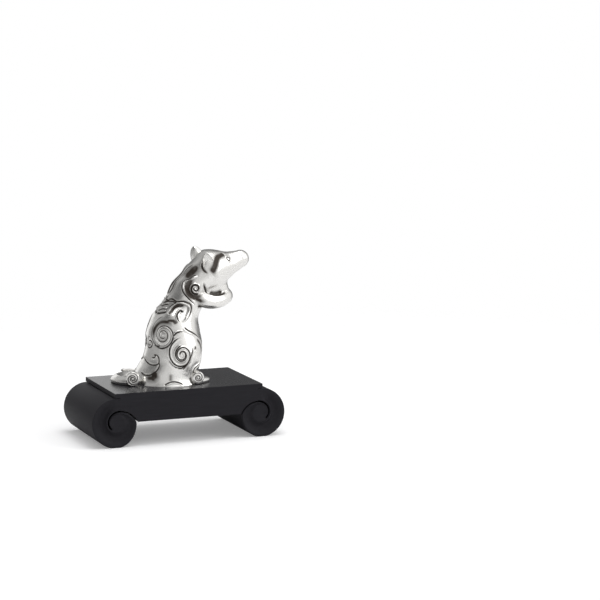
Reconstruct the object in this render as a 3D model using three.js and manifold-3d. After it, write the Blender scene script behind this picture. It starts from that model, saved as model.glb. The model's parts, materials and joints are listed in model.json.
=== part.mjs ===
// A sitting rat in cast pewter on a black lacquered scroll stand.
// Units are millimetres. The origin is the middle of the stand's underside.
// +X is the way the rat faces, +Z is up, and the rat's mid-plane is y = 0.

import * as THREE from 'three';
import Module from 'manifold-3d';
import { mergeVertices } from 'three/addons/utils/BufferGeometryUtils.js';

const wasm = await Module();
wasm.setup();

// Driving dimensions of the stand
const standLength = 120;
const standDepth = 60.7;
const lipPastRoll = 0.65;
const platformOverhang = 2.9;
const platformStep = 2.9;
const rollDiameter = 29.5;
const restFlat = 0.25;
const beamThickness = 17.5;
const slitWidth = 0.9;
const coilSideRadius = 12.4;
const eyeRadius = 3.4;
const slitTurn = THREE.MathUtils.degToRad(232);
const slitTightening = THREE.MathUtils.degToRad(75);
const channelWidth = 5.2;
const channelDepth = 1.4;

// Driving dimensions of the fixings
const clearance = 0.3;
const screwDiameter = 3;
const screwHeadDiameter = 5.6;
const screwHeadHeight = 2.4;
const screwRecessWidth = 0.9;
const screwEngagement = 9;
const screwSpacing = 19;
const washerDiameter = 7;
const washerThickness = 0.6;
const counterboreDiameter = 7.8;
const counterboreDepth = 7;
const dowelDiameter = 4;
const dowelInBeam = 8;
const dowelInScroll = 4.5;
const dowelSpacing = 36;

// Driving dimensions of the casting
const coreDiameter = 25;
const coreDepth = 18;
const bossDiameter = 8;
const spigotDiameter = 12;
const spigotLength = 5;
const neckForward = 5;
const neckHeight = 40.8;
const neckLean = THREE.MathUtils.degToRad(9);
const neckLap = 4;
const snoutPitch = THREE.MathUtils.degToRad(24);
const tailWidth = 7;
const tailHeight = 5;
const tailRootHeight = 3.6;
const tailWrapRadius = 13.8;
const tailCentreBack = 20;
const tailCentreAside = 5;
const tailRootTurn = 40;
const tailEndTurn = 236;
const tailTipDiameter = 2.4;
const tailTipHeight = 5;
const curlDiameter = 8.8;
const curlThickness = 4;
const curlBack = 28.4;
const curlAside = 9;
const curlFacing = -18;
const footCurlDiameter = 8;
const footCurlThickness = 4.4;
const footCurlForward = 9.4;
const footCurlAside = 16.8;
const footCurlFacing = -6;
const toeLength = 15;
const toeWidth = 6.4;
const toeHeight = 4.6;
const toeSunk = 1;
const toeForward = 13;
const toeAside = 13.2;
const toeTurn = 33;
const earLength = 14;
const earWidth = 7;
const earThickness = 3.6;
const earRim = 1;
const earSpread = 18.4;
const earForward = 19.2;
const earHeight = 73;
const earLean = 16;
const earTwist = 80;
const rightEarSplay = 12;
const leftEarSplay = 4;
const scrollRidgeWidth = 1.7;
const haunchScrollRadius = 9.8;
const shoulderScrollRadius = 10.2;
const backScrollRadius = 3.4;
const hipCrescentRadius = 6.4;
const cheekScrollRadius = 10.4;
const crestRadius = 6.8;
const ridgeStepsPerTurn = 12;

const rollRadius = rollDiameter / 2;
const rollX = standLength / 2 - rollRadius;
const rollZ = rollRadius - restFlat;
const platformLength = 2 * (rollX + lipPastRoll);
const rollTop = rollZ + rollRadius;
const platformTop = rollTop + platformStep;
const beamUnderside = platformTop - beamThickness;
const beamEnd = platformLength / 2 - platformOverhang;

const pewter = new THREE.MeshStandardMaterial({ color: 0xc9c7c2, roughness: 0.28, metalness: 1 });
const lacquer = new THREE.MeshStandardMaterial({ color: 0x1f1e22, roughness: 0.5, metalness: 0 });
const beech = new THREE.MeshStandardMaterial({ color: 0xb98f62, roughness: 0.7, metalness: 0 });
const steel = new THREE.MeshStandardMaterial({ color: 0x9a9da0, roughness: 0.4, metalness: 1 });

const up = new THREE.Vector3(0, 0, 1);
const vector = (x, y, z) => new THREE.Vector3(x, y, z);

function toSolid(geometry) {
  const bare = geometry.clone();
  bare.deleteAttribute('normal');
  bare.deleteAttribute('uv');
  const merged = mergeVertices(bare, 1e-4);
  return new wasm.Manifold(new wasm.Mesh({
    numProp: 3,
    vertProperties: new Float32Array(merged.attributes.position.array),
    triVerts: new Uint32Array(merged.index.array),
  }));
}

function toGeometry(solid) {
  const { vertProperties, triVerts } = solid.getMesh();
  const geometry = new THREE.BufferGeometry();
  geometry.setAttribute('position', new THREE.BufferAttribute(vertProperties, 3));
  geometry.setIndex(new THREE.BufferAttribute(triVerts, 1));
  geometry.computeVertexNormals();
  return geometry;
}

function mesh(name, shape, material) {
  const geometry = shape.isBufferGeometry ? shape : toGeometry(shape);
  const part = new THREE.Mesh(geometry, material);
  part.name = name;
  return part;
}

// A closed skin from rings of points, each ring running the same way round, with a point at both ends
function ringSkin(rings, firstPole, lastPole) {
  const around = rings[0].length;
  const position = [];
  const index = [];
  rings.flat().forEach((point) => position.push(point.x, point.y, point.z));
  [firstPole, lastPole].forEach((point) => position.push(point.x, point.y, point.z));
  const first = rings.length * around;
  const last = first + 1;
  for (let u = 0; u < around; u += 1) {
    const next = (u + 1) % around;
    index.push(first, next, u);
    for (let v = 0; v + 1 < rings.length; v += 1) {
      const low = v * around;
      const high = low + around;
      index.push(low + u, low + next, high + next, low + u, high + next, high + u);
    }
    const top = (rings.length - 1) * around;
    index.push(last, top + u, top + next);
  }
  const geometry = new THREE.BufferGeometry();
  geometry.setAttribute('position', new THREE.Float32BufferAttribute(position, 3));
  geometry.setIndex(index);
  return geometry;
}

function box(x0, x1, y0, y1, z0, z1) {
  return new THREE.BoxGeometry(x1 - x0, y1 - y0, z1 - z0)
    .translate((x0 + x1) / 2, (y0 + y1) / 2, (z0 + z1) / 2);
}

function uprightRod(diameter, bottom, top, x = 0, y = 0, sides = 16) {
  return new THREE.CylinderGeometry(diameter / 2, diameter / 2, top - bottom, sides)
    .rotateX(Math.PI / 2)
    .translate(x, y, (bottom + top) / 2);
}

// An outline in x and z, carried through the stand's depth
function throughDepth(points) {
  const shape = new THREE.Shape(points.map(([x, z]) => new THREE.Vector2(x, z)));
  return new THREE.ExtrudeGeometry(shape, { depth: standDepth, bevelEnabled: false, steps: 1 })
    .rotateX(Math.PI / 2)
    .translate(0, standDepth / 2, 0);
}

// The slit is a spiral about the roll: its radius falls from the roll's side towards the eye
function slitPoint(turned, offset = 0) {
  const angle = Math.PI - turned;
  const radius = eyeRadius + (coilSideRadius - eyeRadius) * Math.exp(-turned / slitTightening) + offset;
  return [rollX + radius * Math.cos(angle), rollZ + radius * Math.sin(angle)];
}

// How far the slit has turned where its upper side reaches a value of x or z
function slitTurnedAt(axis, value) {
  let low = -0.6;
  let high = Math.PI / 2;
  for (let step = 0; step < 40; step += 1) {
    const middle = (low + high) / 2;
    if (slitPoint(middle, slitWidth)[axis] < value) low = middle;
    else high = middle;
  }
  return low;
}

const scrollFace = beamEnd + clearance;
const slitAtFace = slitTurnedAt(0, scrollFace);
const slitAtBeamEnd = slitTurnedAt(0, beamEnd);
const slitAtUnderside = slitTurnedAt(1, beamUnderside);
const slitSteps = 22;

// The wound band in x and z: round the roll from its top to its inner side, then in along the slit
function scrollOutline() {
  const points = [[scrollFace, rollTop]];
  const steps = 30;
  for (let step = 0; step <= steps; step += 1) {
    const turned = (step / steps) * 1.5 * Math.PI;
    const late = Math.max(0, turned / Math.PI - 1) * 2;
    const ease = late * late * (3 - 2 * late);
    const radius = THREE.MathUtils.lerp(rollRadius, coilSideRadius, ease);
    const z = rollZ + radius * Math.cos(turned);
    points.push([rollX + radius * Math.sin(turned), Math.max(z, 0)]);
  }
  for (let step = 1; step <= slitSteps; step += 1) {
    points.push(slitPoint((step / slitSteps) * slitTurn));
  }
  for (let step = slitSteps; step >= 0; step -= 1) {
    const turned = THREE.MathUtils.lerp(slitAtFace, slitTurn, step / slitSteps);
    points.push(slitPoint(turned, slitWidth));
  }
  return points;
}

// Half of the beam and platform in x and z, with its lower corner hollowed to clear the coil
function beamOutline() {
  const scoop = [];
  const steps = 8;
  for (let step = 0; step <= steps; step += 1) {
    scoop.push(slitPoint(THREE.MathUtils.lerp(slitAtUnderside, slitAtBeamEnd, step / steps), slitWidth));
  }
  const lip = platformLength / 2;
  const right = [
    ...scoop,
    [beamEnd, rollTop + clearance],
    [lip, rollTop + clearance],
    [lip, platformTop],
  ];
  const left = right.map(([x, z]) => [-x, z]).reverse();
  return [...right, ...left];
}

// A round-nosed cutter's path down the middle of the band, from the face joint to the eye
function channelPath(side) {
  const points = [];
  const steps = 26;
  const turns = 1.5 * Math.PI + slitTurn * 0.86;
  for (let step = 0; step <= steps; step += 1) {
    const turned = THREE.MathUtils.lerp(-0.12, turns, step / steps);
    const inSlit = (angle) => {
      const [x, z] = slitPoint(Math.min(angle, slitTurn));
      return Math.hypot(x - rollX, z - rollZ);
    };
    const outer = turned < 1.5 * Math.PI ? rollRadius : inSlit(turned - 1.5 * Math.PI);
    const inner = inSlit(turned + Math.PI / 2) * (turned + Math.PI / 2 < slitTurn ? 1 : 0.55);
    const radius = (outer + inner) / 2;
    points.push(vector(
      rollX + radius * Math.sin(turned),
      side * standDepth / 2,
      rollZ + radius * Math.cos(turned),
    ));
  }
  return new THREE.CatmullRomCurve3(points, false, 'centripetal');
}

function channelCutter(side) {
  const nose = new THREE.Shape();
  nose.absellipse(0, 0, channelDepth, channelWidth / 2, 0, Math.PI * 2);
  const sweep = { extrudePath: channelPath(side), steps: 28, bevelEnabled: false, curveSegments: 4 };
  return toSolid(new THREE.ExtrudeGeometry(nose, sweep));
}

const jointMiddle = (slitPoint(slitAtBeamEnd, slitWidth)[1] + rollTop) / 2;

function dowel(side, y, grown = 0) {
  const inner = beamEnd - dowelInBeam - grown;
  const outer = beamEnd + dowelInScroll + grown;
  return new THREE.CylinderGeometry(dowelDiameter / 2 + grown, dowelDiameter / 2 + grown, outer - inner, 16)
    .rotateZ(Math.PI / 2)
    .translate(side * (inner + outer) / 2, y, jointMiddle);
}

const dowelRows = [-dowelSpacing / 2, dowelSpacing / 2];

function scrollEnd(side) {
  let solid = toSolid(throughDepth(scrollOutline()));
  dowelRows.forEach((y) => { solid = solid.subtract(toSolid(dowel(1, y, clearance))); });
  [-1, 1].forEach((face) => { solid = solid.subtract(channelCutter(face)); });
  return side > 0 ? solid : solid.mirror([1, 0, 0]);
}

const screwColumns = [-screwSpacing / 2, screwSpacing / 2];
const counterboreTop = beamUnderside + counterboreDepth;

function beam() {
  let solid = toSolid(throughDepth(beamOutline()));
  [-1, 1].forEach((side) => dowelRows.forEach((y) => {
    solid = solid.subtract(toSolid(dowel(side, y, clearance)));
  }));
  screwColumns.forEach((x) => {
    const bore = uprightRod(counterboreDiameter, beamUnderside - 1, counterboreTop, x);
    const hole = uprightRod(screwDiameter + 2 * clearance, beamUnderside, platformTop + 1, x);
    solid = solid.subtract(toSolid(bore)).subtract(toSolid(hole));
  });
  return solid;
}

function washer(x) {
  const inner = screwDiameter / 2 + clearance;
  const outer = washerDiameter / 2;
  const top = counterboreTop;
  const bottom = top - washerThickness;
  const ring = [[inner, bottom], [outer, bottom], [outer, top], [inner, top], [inner, bottom]];
  return new THREE.LatheGeometry(ring.map(([r, z]) => new THREE.Vector2(r, z)), 16)
    .rotateX(Math.PI / 2)
    .translate(x, 0, 0);
}

function screw(x) {
  const seat = counterboreTop - washerThickness;
  const tip = platformTop + screwEngagement;
  const shank = screwDiameter / 2;
  const head = screwHeadDiameter / 2;
  const base = seat - screwHeadHeight;
  const arm = head * 0.6;
  const crown = screwHeadHeight * 0.36;
  const point = shank * 0.4;
  const profile = [[0, base], [arm, base + crown * 0.16], [head, base + crown], [head, seat], [shank, seat],
    [shank, tip - point], [shank - point, tip], [0, tip]];
  const blank = new THREE.LatheGeometry(profile.map(([r, z]) => new THREE.Vector2(r, z)), 12)
    .rotateX(Math.PI / 2)
    .translate(x, 0, 0);
  let solid = toSolid(blank);
  const wide = screwRecessWidth / 2;
  [[arm, wide], [wide, arm]].forEach(([dx, dy]) => {
    solid = solid.subtract(toSolid(box(x - dx, x + dx, -dy, dy, base - 1, base + screwHeadHeight * 0.55)));
  });
  return solid;
}

// The rat in its own frame, with z = 0 on the platform.
// Cross-sections of the trunk and neck: height, middle, half length and half width
const trunk = [
  { height: 0, middle: -4, length: 21, width: 20.6 },
  { height: 3, middle: -3.8, length: 19.6, width: 19.2 },
  { height: 8, middle: -2.8, length: 18.3, width: 18.2 },
  { height: 14, middle: -1, length: 17.8, width: 17.4 },
  { height: 22, middle: 0.4, length: 17, width: 17 },
  { height: 30, middle: 0.6, length: 16.6, width: 15.8 },
  { height: 38, middle: 2, length: 14.6, width: 14 },
  { height: 44, middle: 5, length: 13.2, width: 12.6 },
  { height: 52, middle: 9, length: 12.2, width: 11.6 },
  { height: 60, middle: 13.4, length: 12, width: 11 },
  { height: 66, middle: 17.6, length: 9, width: 8.6 },
  { height: 71, middle: 20, length: 4, width: 4 },
];

function between(stations, key, height) {
  const last = stations.length - 1;
  if (height <= stations[0].height) return stations[0][key];
  if (height >= stations[last].height) return stations[last][key];
  const after = stations.findIndex((station) => station.height > height);
  const [a, b] = [stations[after - 1], stations[after]];
  const [before, beyond] = [stations[Math.max(after - 2, 0)], stations[Math.min(after + 1, last)]];
  const span = b.height - a.height;
  const slopeA = (b[key] - before[key]) / (b.height - before.height);
  const slopeB = (beyond[key] - a[key]) / (beyond.height - a.height);
  const t = (height - a.height) / span;
  const s = 1 - t;
  return a[key] * s * s * (1 + 2 * t) + b[key] * t * t * (1 + 2 * s)
    + span * s * t * (s * slopeA - t * slopeB);
}

function trunkField(p) {
  const length = between(trunk, 'length', p.z);
  const width = between(trunk, 'width', p.z);
  const reach = Math.hypot((p.x - between(trunk, 'middle', p.z)) / length, p.y / width);
  return Math.max((reach - 1) * Math.min(length, width), p.z - trunk.at(-1).height);
}

// Distance to an egg-shaped muscle; a pair is mirrored across y = 0 with a soft seam
const midBlend = 1.2;

function muscle({ at, radii, pitch = 0 }) {
  const tilt = THREE.MathUtils.degToRad(pitch);
  const [c, s] = [Math.cos(tilt), Math.sin(tilt)];
  return (p) => {
    const dx = p.x - at[0];
    const dy = Math.hypot(p.y, midBlend) - at[1];
    const dz = p.z - at[2];
    const along = (dx * c + dz * s) / radii[0];
    const across = dy / radii[1];
    const above = (dz * c - dx * s) / radii[2];
    const reach = Math.hypot(along, across, above);
    const steep = Math.hypot(along / radii[0], across / radii[1], above / radii[2]);
    return steep > 1e-9 ? reach * (reach - 1) / steep : -Math.min(...radii);
  };
}

// Distance to a limb that tapers from one ball to another
function limb({ from, to, thick, thin, flatten = 1 }) {
  const a = vector(...from);
  const axis = vector(...to).sub(a);
  const square = axis.lengthSq();
  return (p) => {
    const q = vector(p.x, p.y / flatten, p.z).sub(a);
    const t = THREE.MathUtils.clamp(q.dot(axis) / square, 0, 1);
    return q.distanceTo(axis.clone().multiplyScalar(t)) - THREE.MathUtils.lerp(thick, thin, t);
  };
}

function blend(a, b, softness) {
  const near = Math.max(softness - Math.abs(a - b), 0) / softness;
  return Math.min(a, b) - near * near * softness / 4;
}

const skull = { at: [22, 0, 66.8], radii: [13, 11, 11.2], pitch: 12 };
const snout = { from: [24, 0, 65.4], to: [43, 0, 71.7], thick: 11.8, thin: 5.4, flatten: 0.88 };
const haunch = { at: [1.2, 10.4, 17.5], radii: [12.8, 9.6, 16] };
const shoulder = { at: [-1, 8, 31], radii: [11, 8.8, 13] };
const throat = { at: [21, 0, 51], radii: [11, 7.4, 6.2], pitch: -6 };
const mouthFloor = { at: [25.6, 0, 54.6], radii: [9.6, 6.6, 7] };
const forms = [
  { softness: 6, field: muscle(skull) },
  { softness: 4, field: limb(snout) },
  { softness: 4, field: muscle(haunch) },
  { softness: 4, field: muscle(shoulder) },
  { softness: 4, field: muscle(throat) },
  { softness: 3, field: muscle(mouthFloor) },
];

function ratField(p) {
  return forms.reduce((sum, { field, softness }) => blend(sum, field(p), softness), trunkField(p));
}

// The skin along a ray: the first place outward where the field reaches the grown surface
function skinPoint(from, direction, grown = 0, field = ratField) {
  let low = 0;
  let high = 1;
  const at = (distance) => from.clone().addScaledVector(direction, distance);
  while (field(at(high)) < grown && high < 60) {
    low = high;
    high += 1.5;
  }
  for (let step = 0; step < 22; step += 1) {
    const middle = (low + high) / 2;
    if (field(at(middle)) < grown) low = middle;
    else high = middle;
  }
  return at((low + high) / 2);
}

// The neck joint: a plane under the jaw, leaning back with the neck
const neckJoint = vector(neckForward, 0, neckHeight);
const neckNormal = vector(Math.sin(neckLean), 0, Math.cos(neckLean));

function bodySkin(grown = 0) {
  const around = 36;
  const rows = 16;
  const top = neckJoint.clone().addScaledVector(neckNormal, -clearance / 2);
  const seat = vector(-3.5, 0, 0);
  const rings = [];
  for (let v = 0; v <= rows; v += 1) {
    const rise = v / rows;
    const centre = seat.clone().lerp(top, rise);
    centre.x = THREE.MathUtils.lerp(seat.x, top.x, rise * rise);
    const lean = neckLean * rise;
    const forward = vector(Math.cos(lean), 0, -Math.sin(lean));
    const ring = [];
    for (let u = 0; u < around; u += 1) {
      const turn = (u / around) * Math.PI * 2;
      const direction = forward.clone().multiplyScalar(Math.cos(turn)).add(vector(0, Math.sin(turn), 0));
      ring.push(skinPoint(centre, direction, grown));
    }
    rings.push(ring);
  }
  return ringSkin(rings, seat, top);
}

// The head's skin is cast outwards from a point in the cheek, in rings about the snout's axis
const headHeart = vector(18, 0, 60);

function headSkin(grown = 0, around = 32, rows = 20) {
  const axis = vector(Math.cos(snoutPitch), 0, Math.sin(snoutPitch));
  const side = vector(0, 1, 0);
  const above = side.clone().cross(axis);
  const floor = (p) => -p.clone().sub(neckJoint).dot(neckNormal) - neckLap;
  const field = (p) => Math.max(ratField(p), floor(p) + grown);
  const cast = (polar, turn) => {
    const direction = axis.clone().multiplyScalar(Math.cos(polar))
      .addScaledVector(side, Math.sin(polar) * Math.cos(turn))
      .addScaledVector(above, Math.sin(polar) * Math.sin(turn));
    return skinPoint(headHeart, direction, grown, field);
  };
  const rings = [];
  for (let v = 1; v < rows; v += 1) {
    const polar = Math.PI * (v / rows) ** 1.35;
    const ring = [];
    for (let u = 0; u < around; u += 1) ring.push(cast(polar, (u / around) * Math.PI * 2));
    rings.push(ring);
  }
  return ringSkin(rings, cast(0, 0), cast(Math.PI, 0));
}

// A scroll laid on the skin as seen along a direction in plan. Its origin is on the rat's mid-plane, facing is
// the turn of the view away from square on, and one turn multiplies the radius by shrink. Turns above zero
// run from the top to the rear and down.
function skinScroll({ origin, facing, radius, shrink, turns, start = 90, squash = 1 }, side) {
  const turnOut = THREE.MathUtils.degToRad(facing);
  const outward = vector(-Math.sin(turnOut), side * Math.cos(turnOut), 0);
  const across = vector(Math.cos(turnOut), side * Math.sin(turnOut), 0);
  const points = [];
  const steps = Math.round(Math.abs(turns) * ridgeStepsPerTurn);
  for (let step = 0; step <= steps; step += 1) {
    const turned = (step / steps) * turns;
    const angle = THREE.MathUtils.degToRad(start) + turned * Math.PI * 2;
    const reach = radius * shrink ** Math.abs(turned);
    const from = vector(origin[0], 0, origin[1] + reach * Math.sin(angle))
      .addScaledVector(across, reach * squash * Math.cos(angle));
    const sunk = step === 0 || step === steps ? scrollRidgeWidth * 0.45 : scrollRidgeWidth * 0.1;
    points.push(skinPoint(from, outward).addScaledVector(outward, -sunk));
  }
  return points;
}

const bodyScrolls = [
  { origin: [1.4, 19.4], facing: 7, radius: haunchScrollRadius, shrink: 0.43, turns: 2.2, squash: 0.87 },
  { origin: [3.4, 30.8], facing: 47, radius: shoulderScrollRadius, shrink: 0.5, turns: 2.3, squash: 0.95 },
  { origin: [-4.4, 24.7], facing: 70, radius: backScrollRadius, shrink: 0.4, turns: 1.1 },
  { origin: [-6.2, 18.4], facing: 50, radius: hipCrescentRadius, shrink: 0.9, turns: -0.36, start: 330 },
];
const headScrolls = [
  { origin: [13.7, 56.6], facing: 15, radius: cheekScrollRadius, shrink: 0.32, turns: -1.5, start: 272 },
  { origin: [5.5, 42.4], facing: 30, radius: crestRadius, shrink: 0.8, turns: -0.62, start: 178 },
];

function ridge(scroll, side) {
  const points = skinScroll(scroll, side);
  const rod = new THREE.Shape();
  rod.absellipse(0, 0, scrollRidgeWidth / 2, scrollRidgeWidth / 2, 0, Math.PI * 2);
  const curve = new THREE.CatmullRomCurve3(points, false, 'centripetal');
  const sweep = { extrudePath: curve, steps: points.length - 1, bevelEnabled: false, curveSegments: 3 };
  return toSolid(new THREE.ExtrudeGeometry(rod, sweep));
}

function withRidges(solid, scrolls) {
  let carved = solid;
  scrolls.forEach((scroll) => [-1, 1].forEach((side) => {
    carved = carved.add(ridge(scroll, side));
  }));
  return carved;
}

const neckTurn = new THREE.Quaternion().setFromUnitVectors(up, neckNormal);
const spigot = (diameter, length) => toSolid(uprightRod(diameter, -length, clearance, 0, 0, 24)
  .applyQuaternion(neckTurn)
  .translate(neckJoint.x, neckJoint.y, neckJoint.z));

function bodyCasting() {
  const core = new THREE.LatheGeometry([
    new THREE.Vector2(0, -1),
    new THREE.Vector2(coreDiameter / 2, -1),
    new THREE.Vector2(coreDiameter / 2, coreDepth * 0.6),
    new THREE.Vector2(coreDiameter * 0.36, coreDepth * 0.92),
    new THREE.Vector2(coreDiameter * 0.2, coreDepth),
    new THREE.Vector2(0, coreDepth),
  ], 20).rotateX(Math.PI / 2);
  let hollow = toSolid(core);
  let solid = withRidges(toSolid(bodySkin()), bodyScrolls).subtract(belowPlatform);
  screwColumns.forEach((x) => {
    hollow = hollow.subtract(toSolid(uprightRod(bossDiameter, -2, coreDepth + 1, x)));
  });
  solid = solid.subtract(hollow);
  screwColumns.forEach((x) => {
    const hole = uprightRod(screwDiameter + 2 * clearance, -1, screwEngagement + 2 * clearance, x, 0, 16);
    solid = solid.subtract(toSolid(hole));
  });
  return solid.subtract(spigot(spigotDiameter + 2 * clearance, spigotLength + clearance));
}

function headCasting() {
  const belowNeck = toSolid(new THREE.BoxGeometry(standLength, standLength, neckHeight)
    .translate(0, 0, (clearance - neckHeight) / 2)
    .applyQuaternion(neckTurn)
    .translate(neckJoint.x, neckJoint.y, neckJoint.z));
  return withRidges(toSolid(headSkin()).add(jaw()), headScrolls).subtract(belowNeck)
    .add(spigot(spigotDiameter, spigotLength));
}

// A limb lofted through stations, each with a place, a width across and a height
function loftLimb(stations, steps, sides) {
  const curve = new THREE.CatmullRomCurve3(stations.map(({ at }) => vector(...at)), false, 'centripetal');
  const rings = [];
  const size = (key, t) => {
    const along = t * (stations.length - 1);
    const index = Math.min(Math.floor(along), stations.length - 2);
    return THREE.MathUtils.lerp(stations[index][key], stations[index + 1][key], along - index);
  };
  const ringAt = (t, beyond, shrink) => {
    const tangent = curve.getTangent(t);
    const across = up.clone().cross(tangent).normalize();
    const above = tangent.clone().cross(across);
    const middle = curve.getPoint(t).addScaledVector(tangent, beyond * size('wide', t) / 2);
    const ring = [];
    for (let u = 0; u < sides; u += 1) {
      const turn = (u / sides) * Math.PI * 2;
      ring.push(middle.clone()
        .addScaledVector(across, shrink * Math.cos(turn) * size('wide', t) / 2)
        .addScaledVector(above, shrink * Math.sin(turn) * size('high', t) / 2));
    }
    return { ring, middle };
  };
  rings.push(ringAt(0, -0.7, 0.65).ring);
  for (let step = 0; step <= steps; step += 1) rings.push(ringAt(step / steps, 0, 1).ring);
  rings.push(ringAt(1, 0.7, 0.65).ring);
  return toSolid(ringSkin(rings, ringAt(0, -0.92, 0).middle, ringAt(1, 0.92, 0).middle));
}

// The lower jaw, one band from the near cheek round the chin to the far cheek
function jaw() {
  const half = [
    { at: [12, 8.6, 51.2], wide: 5, high: 7 },
    { at: [16.5, 8.6, 49], wide: 8, high: 9.2 },
    { at: [22.5, 7.8, 47.6], wide: 8, high: 8.6 },
    { at: [29, 5, 48.2], wide: 8.4, high: 8.4 },
  ];
  const chin = { at: [33.2, 0, 49.8], wide: 9, high: 9.4 };
  const mirrored = half.map(({ at, wide, high }) => ({ at: [at[0], -at[1], at[2]], wide, high }));
  return loftLimb([...half, chin, ...mirrored.reverse()], 20, 12);
}

// A curled disc on edge, with rounded rims, facing along a direction in plan
function curl({ at, diameter, thickness, facing }) {
  const radius = diameter / 2;
  const half = thickness / 2;
  const profile = [[0, -half], [radius - half * 0.7, -half], [radius - half * 0.2, -half * 0.7], [radius, 0],
    [radius - half * 0.2, half * 0.7], [radius - half * 0.7, half], [0, half]];
  return toSolid(new THREE.LatheGeometry(profile.map(([r, z]) => new THREE.Vector2(r, z)), 22)
    .rotateZ(THREE.MathUtils.degToRad(facing))
    .translate(...at));
}

// The tail leaves the far side of the rump, wraps round behind it and ends in a curl on the near side.
// Its tip is a small finger above the root.
function tail() {
  const stations = [];
  const count = 8;
  for (let at = 0; at <= count; at += 1) {
    const share = at / count;
    const turn = THREE.MathUtils.degToRad(THREE.MathUtils.lerp(tailRootTurn, tailEndTurn, share));
    const high = THREE.MathUtils.lerp(tailRootHeight, tailHeight, share) * 1.2;
    stations.push({
      at: [
        tailWrapRadius * Math.cos(turn) - tailCentreBack,
        tailWrapRadius * Math.sin(turn) + tailCentreAside,
        high * (0.5 - 1 / 6),
      ],
      wide: tailWidth,
      high,
    });
  }
  const finger = loftLimb([
    { at: [-11, 17.5, tailRootHeight * 0.65], wide: 4, high: 4 },
    { at: [-16, 20.6, tailTipHeight - 0.6], wide: tailTipDiameter * 1.2, high: tailTipDiameter },
    { at: [-24.6, 22.4, tailTipHeight], wide: tailTipDiameter, high: tailTipDiameter },
  ], 6, 8);
  const rearCurl = {
    at: [-curlBack, -curlAside, curlDiameter / 2],
    diameter: curlDiameter,
    thickness: curlThickness,
    facing: curlFacing,
  };
  return loftLimb(stations, 20, 10)
    .add(finger)
    .add(curl(rearCurl))
    .subtract(grownBody)
    .subtract(belowPlatform);
}

function hindFoot(side) {
  const toe = new THREE.SphereGeometry(1, 16, 10)
    .scale(toeLength / 2, toeWidth / 2, toeHeight / 2)
    .rotateZ(THREE.MathUtils.degToRad(toeTurn))
    .translate(toeForward, -toeAside, toeHeight / 2 - toeSunk);
  const foot = toSolid(toe)
    .add(curl({
      at: [footCurlForward, -footCurlAside, footCurlDiameter / 2],
      diameter: footCurlDiameter,
      thickness: footCurlThickness,
      facing: footCurlFacing,
    }))
    .subtract(grownBody)
    .subtract(belowPlatform);
  return side < 0 ? foot : foot.mirror([0, 1, 0]);
}

function ear(side, splay) {
  const leaf = new THREE.SphereGeometry(1, 14, 12).scale(earThickness / 2, earWidth / 2, earLength / 2);
  const hollow = new THREE.SphereGeometry(1, 14, 12)
    .scale(earThickness * 0.45, earWidth / 2 - earRim, earLength / 2 - earRim * 1.2)
    .translate(earThickness * 0.42, 0, earRim * 0.3);
  const cup = toSolid(leaf).subtract(toSolid(hollow));
  const turn = new THREE.Matrix4()
    .makeRotationX(THREE.MathUtils.degToRad(-side * splay))
    .multiply(new THREE.Matrix4().makeRotationY(THREE.MathUtils.degToRad(-earLean)))
    .multiply(new THREE.Matrix4().makeRotationZ(THREE.MathUtils.degToRad(side * earTwist)));
  turn.setPosition(earForward, side * earSpread / 2, earHeight);
  return cup.transform(turn.elements).subtract(grownHead);
}

const group = new THREE.Group();
const rat = new THREE.Group();
rat.position.z = platformTop;
group.add(rat);

const belowPlatform = toSolid(box(-standLength, standLength, -standLength, standLength, -platformTop, 0));
const grownBody = toSolid(bodySkin(clearance));
const grownHead = toSolid(headSkin(clearance));

rat.add(mesh('body_casting', bodyCasting(), pewter));
rat.add(mesh('head_casting', headCasting(), pewter));
rat.add(mesh('tail', tail(), pewter));
rat.add(mesh('right_hind_foot', hindFoot(-1), pewter));
rat.add(mesh('left_hind_foot', hindFoot(1), pewter));
rat.add(mesh('right_ear', ear(-1, rightEarSplay), pewter));
rat.add(mesh('left_ear', ear(1, leftEarSplay), pewter));

group.add(mesh('stand_beam', beam(), lacquer));
group.add(mesh('front_scroll', scrollEnd(1), lacquer));
group.add(mesh('rear_scroll', scrollEnd(-1), lacquer));
[['front', 1], ['rear', -1]].forEach(([end, side]) => dowelRows.forEach((y) => {
  group.add(mesh(`${end}_dowel_${y < 0 ? 'right' : 'left'}`, dowel(side, y), beech));
}));
screwColumns.forEach((x) => {
  const place = x < 0 ? 'rear' : 'front';
  group.add(mesh(`${place}_fixing_screw`, screw(x), steel));
  group.add(mesh(`${place}_washer`, washer(x), steel));
});

export default group;
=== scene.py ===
# %% [markdown]
# # A rat in cast pewter on a black scroll stand
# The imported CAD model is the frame. It holds the real sizes, and every surface made here sits where its
# node sits. This script adds the looks: scrollwork in relief, a polished and darkened metal, lacquered wood,
# soft studio light and a camera at the photograph's angle. Shapes are worked out in millimetres and are
# turned into metres when they become meshes.

# %% Load the frame
import json

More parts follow.
